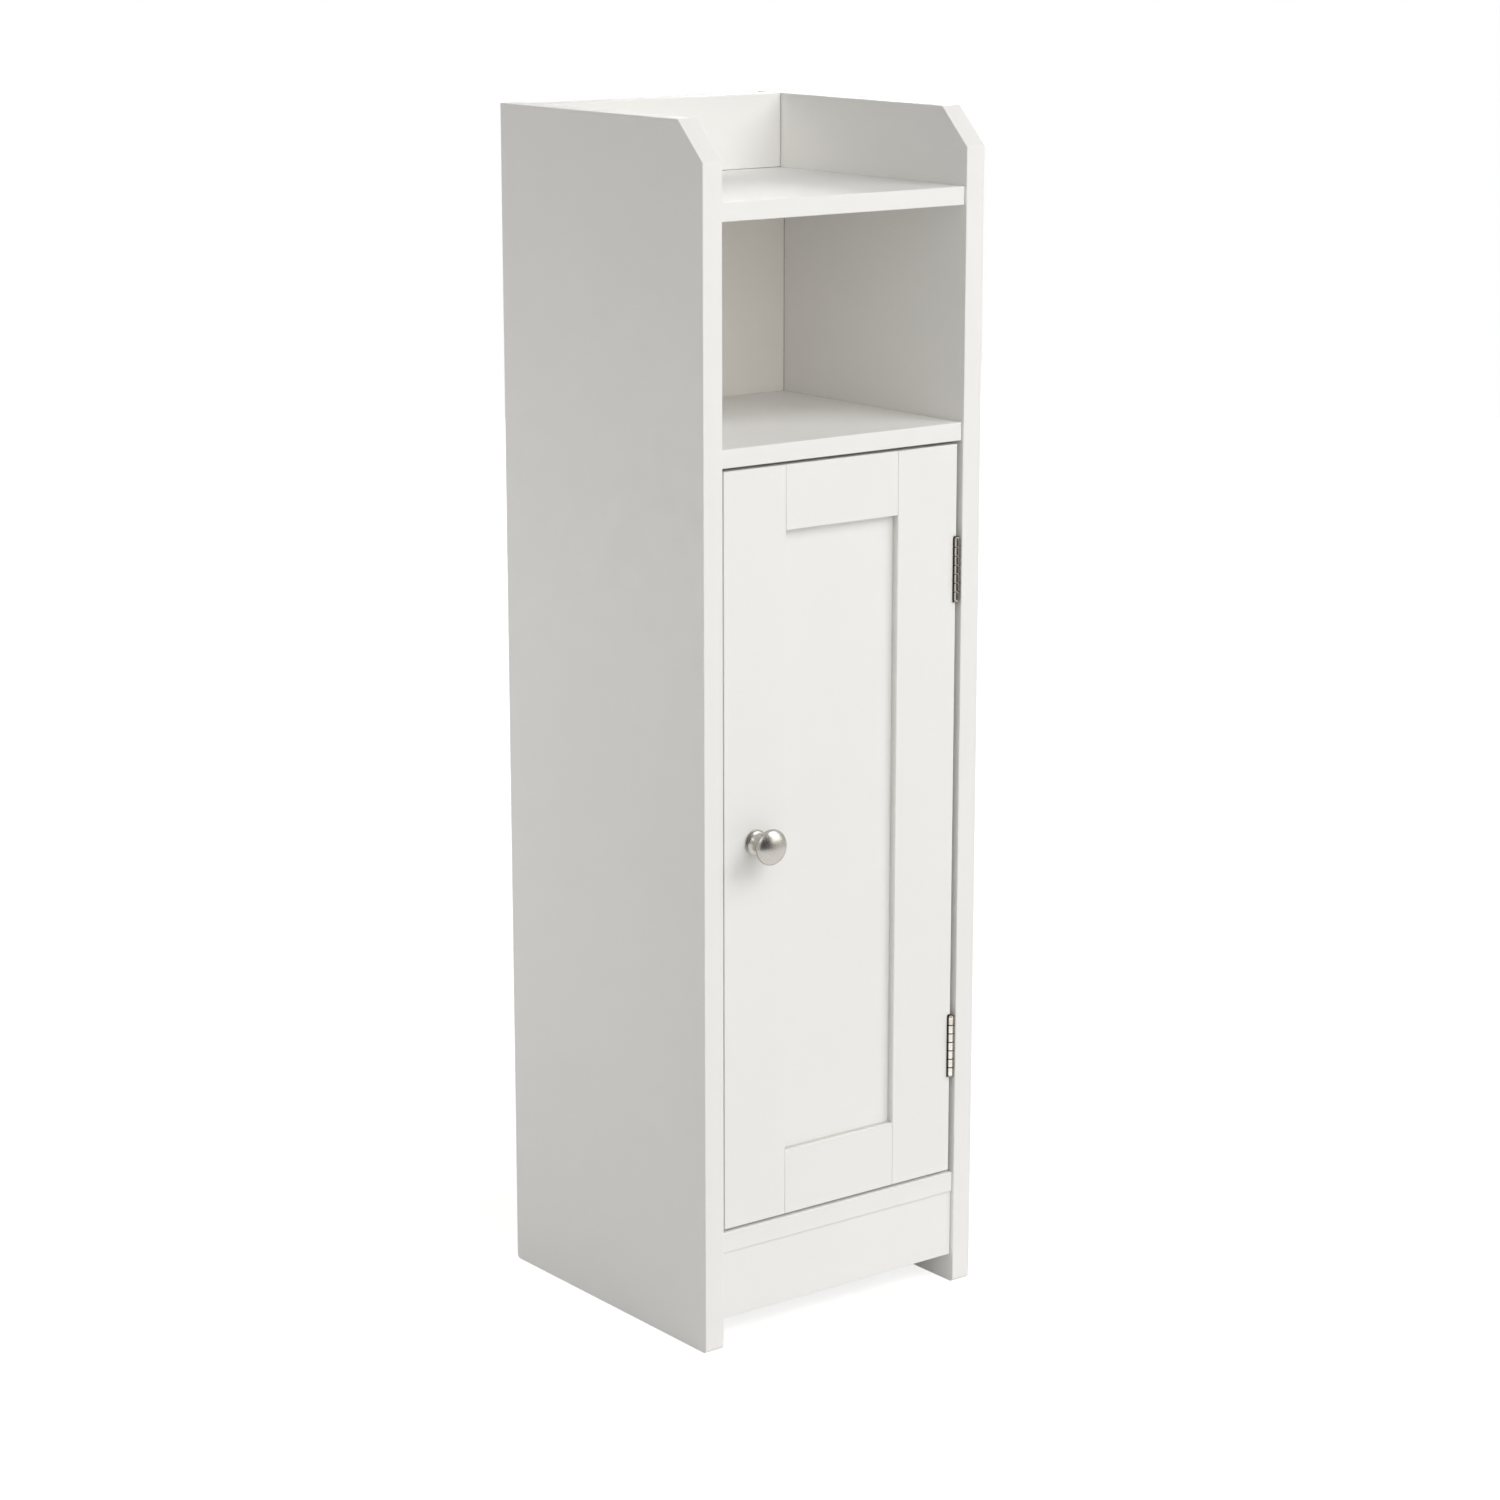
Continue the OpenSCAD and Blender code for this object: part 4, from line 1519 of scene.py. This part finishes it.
@dataclass(frozen=True)
class Leaf:
    """One leaf of a hinge: its CAD node, its body and how it is put together.

    Its screws go in from the X of its face, towards +X or -X as its way is 1 or -1.
    """

    node: str
    body: Body
    face: float
    way: int
    first_knuckle: int
    tab_start: float


@dataclass
class ButtHinge:
    """A butt hinge: two leaves with alternate knuckles, and a pin with domed ends."""

    which: str
    knuckles: int = 7
    pitch: float = 6.0 * MM
    gap: float = 0.6 * MM
    barrel: float = 2.65 * MM
    bore: float = 1.45 * MM
    rounding: float = 0.18 * MM
    leaf: float = 1.2 * MM
    width: float = 15.0 * MM
    clear: float = 2.95 * MM
    tab_overlap: float = 0.5 * MM
    screw_in: float = 9.0 * MM
    screw_span: float = 24.0 * MM
    screw_head: float = 2.65 * MM
    screw_shank: float = 1.55 * MM
    screw_through: float = 3.0 * MM
    hole_steps: int = 32
    pin_radius: float = 1.4 * MM
    pin_dome: float = 0.9 * MM
    # The angle at which the dome leaves the upright edge of the pin's end
    pin_edge: float = 8.0
    dome_steps: int = 10
    pin_steps: int = 40

    def axis(self) -> Vector:
        """Returns the middle of the pin."""
        low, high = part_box(f"hinge_{self.which}_pin")
        return (low + high) / 2

    def leaves(self) -> tuple[Leaf, Leaf]:
        """Lists the two leaves.

        Returns:
            The leaf on the side panel and the leaf on the door.
        """
        frame_node = f"hinge_{self.which}_frame_leaf"
        frame_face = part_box(frame_node)[1].x - self.leaf
        door_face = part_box("door_stile_right")[1].x + self.leaf
        return (Leaf(frame_node, Body.CABINET, frame_face, 1, 0, 0.0),
                Leaf(f"hinge_{self.which}_door_leaf", Body.DOOR, door_face, -1, 1,
                     (self.bore + self.barrel) / 2))

    def plate(self, leaf: Leaf, inner: float) -> EditMesh:
        """Makes a leaf's flat plate with its two sunk screw holes.

        Args:
            leaf: the leaf.
            inner: the X of the plate's left face.

        Returns:
            The plate.
        """
        axis = self.axis()
        low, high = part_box(leaf.node)
        plate = block((inner, axis.y + self.clear, low.z),
                      (inner + self.leaf, axis.y + self.width, high.z), self.rounding)
        sink = self.screw_head - self.screw_shank
        outline = [(0.0, -PAST), (self.screw_head, -PAST), (self.screw_head, 0.0),
                   (self.screw_shank, sink), (self.screw_shank, self.screw_through),
                   (0.0, self.screw_through)]
        tools = []
        for side in (-0.5, 0.5):
            place = Matrix.Translation((leaf.face, axis.y + self.screw_in,
                                        axis.z + side * self.screw_span))
            tool = lathe(outline, self.hole_steps)
            bmesh.ops.transform(tool, verts=tool.verts, matrix=place
                                @ Matrix.Rotation(leaf.way * math.pi / 2, 4, "Y"))
            tools.append(tool)
        return carve(plate, tools)

    def leaf_piece(self, leaf: Leaf) -> None:
        """Builds one leaf.

        Args:
            leaf: the leaf.
        """
        axis = self.axis()
        inner = leaf.face if leaf.way > 0 else leaf.face - self.leaf
        start = axis.z + (leaf.first_knuckle - self.knuckles / 2 + 0.5) * self.pitch
        stack = KnuckleStack().run(leaf.node + "_knuckles", {
            "Barrel radius": self.barrel, "Bore radius": self.bore,
            "Knuckle height": self.pitch - self.gap, "Rounding": self.rounding,
            "Leaf thickness": self.leaf, "Tab start": leaf.tab_start,
            "Tab end": self.clear + self.tab_overlap, "Plate offset": inner - axis.x,
            "Pitch": 2 * self.pitch, "Count": (self.knuckles - leaf.first_knuckle + 1) // 2,
            "Start": (axis.x, axis.y, start), "Finish": HINGE_NICKEL.material()})
        bm = self.plate(leaf, inner)
        bm.from_mesh(stack.data)
        bpy.data.objects.remove(stack)
        obj = object_from(leaf.node + "_rolled", to_mesh(bm, leaf.node, angle=METAL_SHARP))
        even_normals(obj)
        finish_piece(obj, leaf.body, [HINGE_NICKEL], [leaf.node])

    def pin(self) -> None:
        """Builds the pin with its two domed ends."""
        node = f"hinge_{self.which}_pin"
        low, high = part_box(node)
        head = (high.x - low.x) / 2
        half = (high.z - low.z) / 2
        neck = half - self.pin_dome
        top = arc((0.0, neck), (head, self.pin_dome), self.pin_edge, 90, self.dome_steps)
        top[-1] = (0.0, half)
        bottom = [(r, -z) for r, z in reversed(top)]
        edge = [(head, -neck), (self.pin_radius, -neck), (self.pin_radius, neck), (head, neck)]
        mesh = to_mesh(lathe(bottom + edge + top, self.pin_steps), node,
                       Matrix.Translation(self.axis()), METAL_SHARP)
        finish_piece(object_from(node + "_domed", mesh), Body.CABINET, [HINGE_NICKEL], [node])

    def build(self) -> None:
        """Builds both leaves and the pin."""
        for leaf in self.leaves():
            self.leaf_piece(leaf)
        self.pin()


@dataclass
class MagneticCatch:
    """The magnetic catch under the middle shelf, and the plate it holds on the door."""

    housing_edge: float = 0.7 * MM
    magnet_edge: float = 0.25 * MM
    pole_edge: float = 0.15 * MM
    strike_edge: float = 0.2 * MM

    def build(self) -> None:
        """Builds the housing, the magnet, the pole plates and the strike plate."""
        for node, body, finish, edge in (
                ("catch_body", Body.CABINET, PLASTIC, self.housing_edge),
                ("catch_magnet", Body.CABINET, FERRITE, self.magnet_edge),
                ("catch_poles", Body.CABINET, ZINC, self.pole_edge),
                ("strike_plate", Body.DOOR, ZINC, self.strike_edge)):
            EasedBoard(node, body, finish, edge).build()


@dataclass
class Fasteners:
    """The screws, nails, cam locks and shelf pins."""

    seed: int = 7
    # How far a fitting may be turned at random, in radians
    screw_turn: float = 1.4
    nail_turn: float = 6.0
    wood_shank: float = 1.5 * MM
    machine_shank: float = 2.0 * MM
    sunk_head: float = 2.6 * MM
    hinge_length: float = 11.0 * MM
    strike_length: float = 9.0 * MM
    catch_rise: float = 2.0 * MM
    knob_rise: float = 2.6 * MM
    raised_recess: float = 0.45
    raised_depth: float = 1.6 * MM
    raised_wing: float = 1.0 * MM

    def middles(self, node: str, aim: Point, inset: float = 0.0) -> list[Place]:
        """Finds a place on the end face of each solid of a node.

        Args:
            node: the CAD node.
            aim: the way its outer ends face.
            inset: how far inside the end faces the places are.

        Returns:
            The places.
        """
        places = []
        for low, high in solids(node):
            middle = (low + high) / 2
            for i in range(3):
                if aim[i]:
                    middle[i] = high[i] if aim[i] > 0 else low[i]
            places.append(Place(tuple(middle - Vector(aim) * inset), aim))
        return places

    def put(self, node: str, body: Body, fitting: Mesh, places: Sequence[Place],
            finish: Finish, free: float = 0.0) -> None:
        """Puts fittings in place of a CAD node's solids.

        Args:
            node: the CAD node.
            body: what the fittings are fixed to.
            fitting: the mesh of one of them.
            places: where they go.
            finish: their finish.
            free: how far each may be turned at random, in radians.
        """
        self.seed += 1
        obj = Scatter().run(node + "_set", fitting, places, finish, free, self.seed)
        finish_piece(obj, body, [finish], [node])

    def sunk_screws(self) -> None:
        """Puts the countersunk screws in the hinge leaves and the strike plate."""
        for node, body, aim, length, finish in (
                ("hinge_screws_frame", Body.CABINET, (-1, 0, 0), self.hinge_length, HINGE_NICKEL),
                ("hinge_screws_door", Body.DOOR, (1, 0, 0), self.hinge_length, HINGE_NICKEL),
                ("strike_screw", Body.DOOR, (0, 1, 0), self.strike_length, ZINC)):
            screw = CrossScrew(self.wood_shank, length, self.sunk_head)
            self.put(node, body, screw.mesh(), self.middles(node, aim), finish, self.screw_turn)

    def raised_screws(self) -> None:
        """Puts the pan head screws of the catch and the machine screw of the knob."""
        for node, body, aim, shank, rise in (
                ("catch_screws", Body.CABINET, (0, 0, -1), self.wood_shank, self.catch_rise),
                ("knob_screw", Body.DOOR, (0, 1, 0), self.machine_shank, self.knob_rise)):
            low, high = solids(node)[0]
            size = high - low
            axis = max(range(3), key=lambda i: abs(aim[i]))
            screw = CrossScrew(shank, size[axis] - rise, size[(axis + 1) % 3] / 2, rise,
                               self.raised_recess, self.raised_depth, self.raised_wing)
            self.put(node, body, screw.mesh(), self.middles(node, aim, rise), ZINC,
                     self.screw_turn)

    def nails(self) -> None:
        """Puts the nails through the back panel."""
        low, high = solids("back_nails")[0]
        nail = BackNail((high.x - low.x) / 2, high.y - low.y)
        self.put("back_nails", Body.CABINET, nail.mesh(), self.middles("back_nails", (0, 1, 0)),
                 ZINC, self.nail_turn)

    def cams(self) -> None:
        """Puts the cam locks, with their pockets towards the side panels."""
        low, high = solids("cam_locks")[0]
        lock = CamLock((high.x - low.x) / 2, high.z - low.z)
        places = [Place(p.point, (0, 0, 1), math.pi if p.point[0] < 0 else 0.0)
                  for p in self.middles("cam_locks", (0, 0, -1))]
        self.put("cam_locks", Body.CABINET, lock.mesh(), places, ZINC)

    def shelf_pins(self) -> None:
        """Puts the four pins that carry the inner shelf."""
        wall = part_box("side_panel_right")[0].x
        places = []
        for low, high in solids("shelf_pins"):
            middle = (low + high) / 2
            side = 1 if middle.x > 0 else -1
            places.append(Place((side * wall, middle.y, middle.z), (-side, 0, 0)))
        self.put("shelf_pins", Body.CABINET, ShelfPin().mesh(), places, ZINC)

    def build(self) -> None:
        """Builds all the small fittings, and dresses the ones inside the boards."""
        self.sunk_screws()
        self.raised_screws()
        self.nails()
        self.cams()
        self.shelf_pins()
        dress_node("cam_bolts", ZINC)
        dress_node("dowels", BEECH)


@dataclass(frozen=True)
class SoftLight:
    """A square soft light; azimuth 0 is straight in front and +90 is at the right."""

    name: str
    azimuth: float
    elevation: float
    level: float
    distance: float
    size: float

    def build(self, aim: Point) -> None:
        """Builds the light, so that a white surface facing it shows its level.

        Args:
            aim: the point that it faces.
        """
        data = bpy.data.lights.new(self.name, "AREA")
        data.shape = "SQUARE"
        data.size = self.size
        data.energy = self.level * (math.pi * self.distance) ** 2
        lamp = bpy.data.objects.new(self.name, data)
        bpy.context.scene.collection.objects.link(lamp)
        turn = math.radians(self.azimuth)
        rise = math.radians(self.elevation)
        way = Vector((math.sin(turn) * math.cos(rise), -math.cos(turn) * math.cos(rise),
                      math.sin(rise)))
        lamp.location = Vector(aim) + way * self.distance
        lamp.rotation_euler = way.to_track_quat("Z", "Y").to_euler()


@dataclass
class MirrorScreen:
    """A bent, graded screen round the front that lights nothing and only shows in shiny metal:
    it paints dark and pale reflections there, and a painted highlight up to the right.

    Its brightness changes between two azimuths or two elevations, in degrees. Where
    these overlap, the brighter one shows.
    """

    middle: Point = (-0.07, -0.12, 0.34)
    radius: float = 1.25
    foot: float = -15.0
    # Azimuths, each with the elevation of the screen's upper edge there
    tops: Profile = ((-96.0, 30.0), (-42.0, 30.0), (-38.0, 70.0), (20.5, 70.0),
                     (23.0, 20.0), (58.0, 20.0), (64.0, 14.0), (96.0, 14.0))
    steps: int = 8
    tint: Colour = (1.0, 0.98, 0.95)
    # The brightness of the painted reflections: dark in front, paler above and to the right and
    # left
    dark: float = 0.03
    fade_up: Span = (24.0, 38.0)
    above: float = 0.5
    fade_right: Span = (16.0, 50.0)
    right: float = 0.85
    fade_left: Span = (-36.0, -52.0)
    left: float = 0.75
    # Where the painted highlight shows in the metal, and how bright it is
    glow_from: Span = (22.0, 27.0)
    glow_until: Span = (58.0, 68.0)
    glow_above: Span = (-1.0, 5.0)
    painted_highlight: float = 2.8

    def height_of(self, rise: float) -> float:
        """Returns how far above its middle the screen is at an elevation."""
        return self.radius * math.tan(math.radians(rise))

    def across(self, turns: Span) -> Span:
        """Returns the X of the screen at two azimuths."""
        return tuple(self.middle[0] + self.radius * math.sin(math.radians(t)) for t in turns)

    def upward(self, rises: Span) -> Span:
        """Returns the Z of the screen at two elevations."""
        return tuple(self.middle[2] + self.height_of(rise) for rise in rises)

    def mesh(self) -> Mesh:
        """Bends the sheet of the screen.

        Returns:
            The screen's mesh.
        """
        bm = bmesh.new()
        columns = []
        for (start, low), (end, high) in zip(self.tops, self.tops[1:]):
            for i in range(self.steps + 1):
                turn = math.radians(start + (end - start) * i / self.steps)
                out = Vector((math.sin(turn), -math.cos(turn), 0)) * self.radius
                rises = (self.foot, low + (high - low) * i / self.steps)
                columns.append([bm.verts.new(Vector(self.middle) + out
                                             + Vector((0, 0, self.height_of(rise))))
                                for rise in rises])
        for left, right in zip(columns, columns[1:]):
            bm.faces.new((left[0], left[1], right[1], right[0]))
        bmesh.ops.remove_doubles(bm, verts=bm.verts, dist=TINY)
        return to_mesh(bm, "studio_screen")

    def strength(self, sheet: Sheet) -> Socket:
        """Grades the painted reflections: dark in front, paler upwards and to both sides, with a
        painted highlight.

        Args:
            sheet: the screen's nodes.

        Returns:
            Its brightness.
        """
        x, _, z = sheet.axes()
        right = sheet.between(x, (self.dark, self.right), self.across(self.fade_right))
        left = sheet.between(x, (self.dark, self.left), self.across(self.fade_left))
        above = sheet.between(z, (self.dark, self.above), self.upward(self.fade_up))
        pale = sheet.maths("MAXIMUM", sheet.maths("MAXIMUM", right, left), above)
        wide = sheet.maths("MULTIPLY", sheet.between(x, RISING, self.across(self.glow_from)),
                           sheet.between(x, FALLING, self.across(self.glow_until)))
        high = sheet.between(z, (0.0, self.painted_highlight), self.upward(self.glow_above))
        return sheet.maths("MAXIMUM", pale, sheet.maths("MULTIPLY", wide, high))

    def build(self) -> None:
        """Builds the screen, which no camera or matt surface sees, so it lights nothing and only
        paints reflections.
        """
        obj = object_from("studio_screen", self.mesh())
        made = bpy.data.materials.new("studio_screen")
        sheet = Sheet.clear(made)
        # An emission seen only in reflections: painted reflections and a painted highlight
        painted_reflection_shader = sheet.add("ShaderNodeEmission", Color=self.tint, Strength=self.strength(sheet))
        sheet.add("ShaderNodeOutputMaterial", Surface=painted_reflection_shader.outputs[0])
        obj.data.materials.append(made)
        for ray in ("camera", "diffuse", "transmission", "shadow", "volume_scatter"):
            setattr(obj, "visible_" + ray, False)


@dataclass
class Studio:
    """The pale floor, the soft lights and the white surroundings."""

    floor_size: float = 7.0
    floor_tone: Colour = (0.8, 0.8, 0.8)
    floor_lift: float = 0.7
    ambient: float = 0.09
    ambient_tint: Colour = (1.0, 0.95, 0.88)
    aim: Point = (0.0, 0.0, 0.42)
    # Each light's name, azimuth, elevation, level, distance and size
    lights: tuple[SoftLight, ...] = (
        SoftLight("key_light", 39.0, 37.0, 0.37, 8.0, 5.0),
        SoftLight("high_front_light", 5.0, 46.0, 0.25, 8.0, 4.5),
        SoftLight("front_left_light", -55.0, 26.0, 0.04, 8.0, 3.5),
        SoftLight("front_fill", -22.0, 18.0, 0.125, 8.0, 6.0),
        SoftLight("low_fill", -5.0, 10.0, 0.15, 8.0, 6.0),
        SoftLight("left_high_light", -80.0, 42.0, 0.085, 6.0, 3.0),
        SoftLight("left_low_light", -128.0, -3.0, 0.15, 1.1, 0.3),
        SoftLight("rear_fill", 130.0, 15.0, 0.4, 6.0, 3.0),
    )

    def seen_directly(self, sheet: Sheet) -> Socket:
        """Picks the rays from the camera, off metal and through glass.

        Args:
            sheet: the nodes of the floor or the surroundings.

        Returns:
            1 for such rays and 0 for all others.
        """
        path = sheet.add("ShaderNodeLightPath").outputs
        both = sheet.maths("MAXIMUM", path["Is Camera Ray"], path["Is Glossy Ray"])
        return sheet.maths("MAXIMUM", both, path["Is Transmission Ray"])

    def world(self) -> None:
        """Makes surroundings that look white and light the object evenly."""
        world = bpy.data.worlds.new("white_room")
        sheet = Sheet.clear(world)
        lit = sheet.add("ShaderNodeBackground", Color=self.ambient_tint, Strength=self.ambient)
        white = sheet.add("ShaderNodeBackground", Color=WHITE, Strength=1.0)
        both = sheet.fill(sheet.add("ShaderNodeMixShader"), self.seen_directly(sheet),
                          lit.outputs[0], white.outputs[0])
        sheet.add("ShaderNodeOutputWorld", Surface=both)
        bpy.context.scene.world = world

    def floor(self) -> None:
        """Makes a pale floor that keeps the object's soft shadow."""
        half = self.floor_size / 2
        corners = [(-half, -half, 0), (half, -half, 0), (half, half, 0), (-half, half, 0)]
        mesh = bpy.data.meshes.new("floor")
        mesh.from_pydata(corners, [], [range(len(corners))])
        obj = object_from("studio_floor", mesh)
        made = bpy.data.materials.new("studio_floor")
        sheet = Sheet.clear(made)
        matt = sheet.add("ShaderNodeBsdfDiffuse", Color=self.floor_tone)
        strength = sheet.maths("MULTIPLY", self.seen_directly(sheet), self.floor_lift)
        lift = sheet.add("ShaderNodeEmission", Color=WHITE, Strength=strength)
        both = sheet.fill(sheet.add("ShaderNodeAddShader"), matt.outputs[0], lift.outputs[0])
        sheet.add("ShaderNodeOutputMaterial", Surface=both)
        mesh.materials.append(made)

    def build(self) -> None:
        """Builds the studio."""
        self.world()
        self.floor()
        MirrorScreen().build()
        for light in self.lights:
            light.build(self.aim)
        bpy.context.scene.view_settings.view_transform = "Standard"


@dataclass
class PhotoCamera:
    """The camera, where the photograph was taken from."""

    place: Point = (-1.4918, -1.9517, 0.9567)
    yaw: float = 37.39
    pitch: float = 13.38
    lens: float = 90.19
    sensor: float = 36.0
    nearest: float = 0.05
    furthest: float = 50.0

    def build(self) -> None:
        """Builds the camera and makes it the scene's own."""
        data = bpy.data.cameras.new("photo_camera")
        data.sensor_fit = "AUTO"
        data.sensor_width = self.sensor
        data.lens = self.lens
        data.clip_start = self.nearest
        data.clip_end = self.furthest
        obj = bpy.data.objects.new("photo_camera", data)
        bpy.context.scene.collection.objects.link(obj)
        obj.location = self.place
        obj.rotation_euler = (math.radians(90 - self.pitch), 0, math.radians(-self.yaw))
        bpy.context.scene.camera = obj


def main() -> None:
    """Builds the camera, the studio and the cabinet's looks, in order."""
    logging.basicConfig(level=logging.INFO, format="%(name)s: %(message)s")
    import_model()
    PhotoCamera().build()
    Studio().build()
    Carcass().build()
    PanelDoor().build()
    RoundKnob().build()
    for which in ("upper", "lower"):
        ButtHinge(which).build()
    MagneticCatch().build()
    Fasteners().build()
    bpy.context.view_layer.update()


if __name__ == "__main__":
    main()
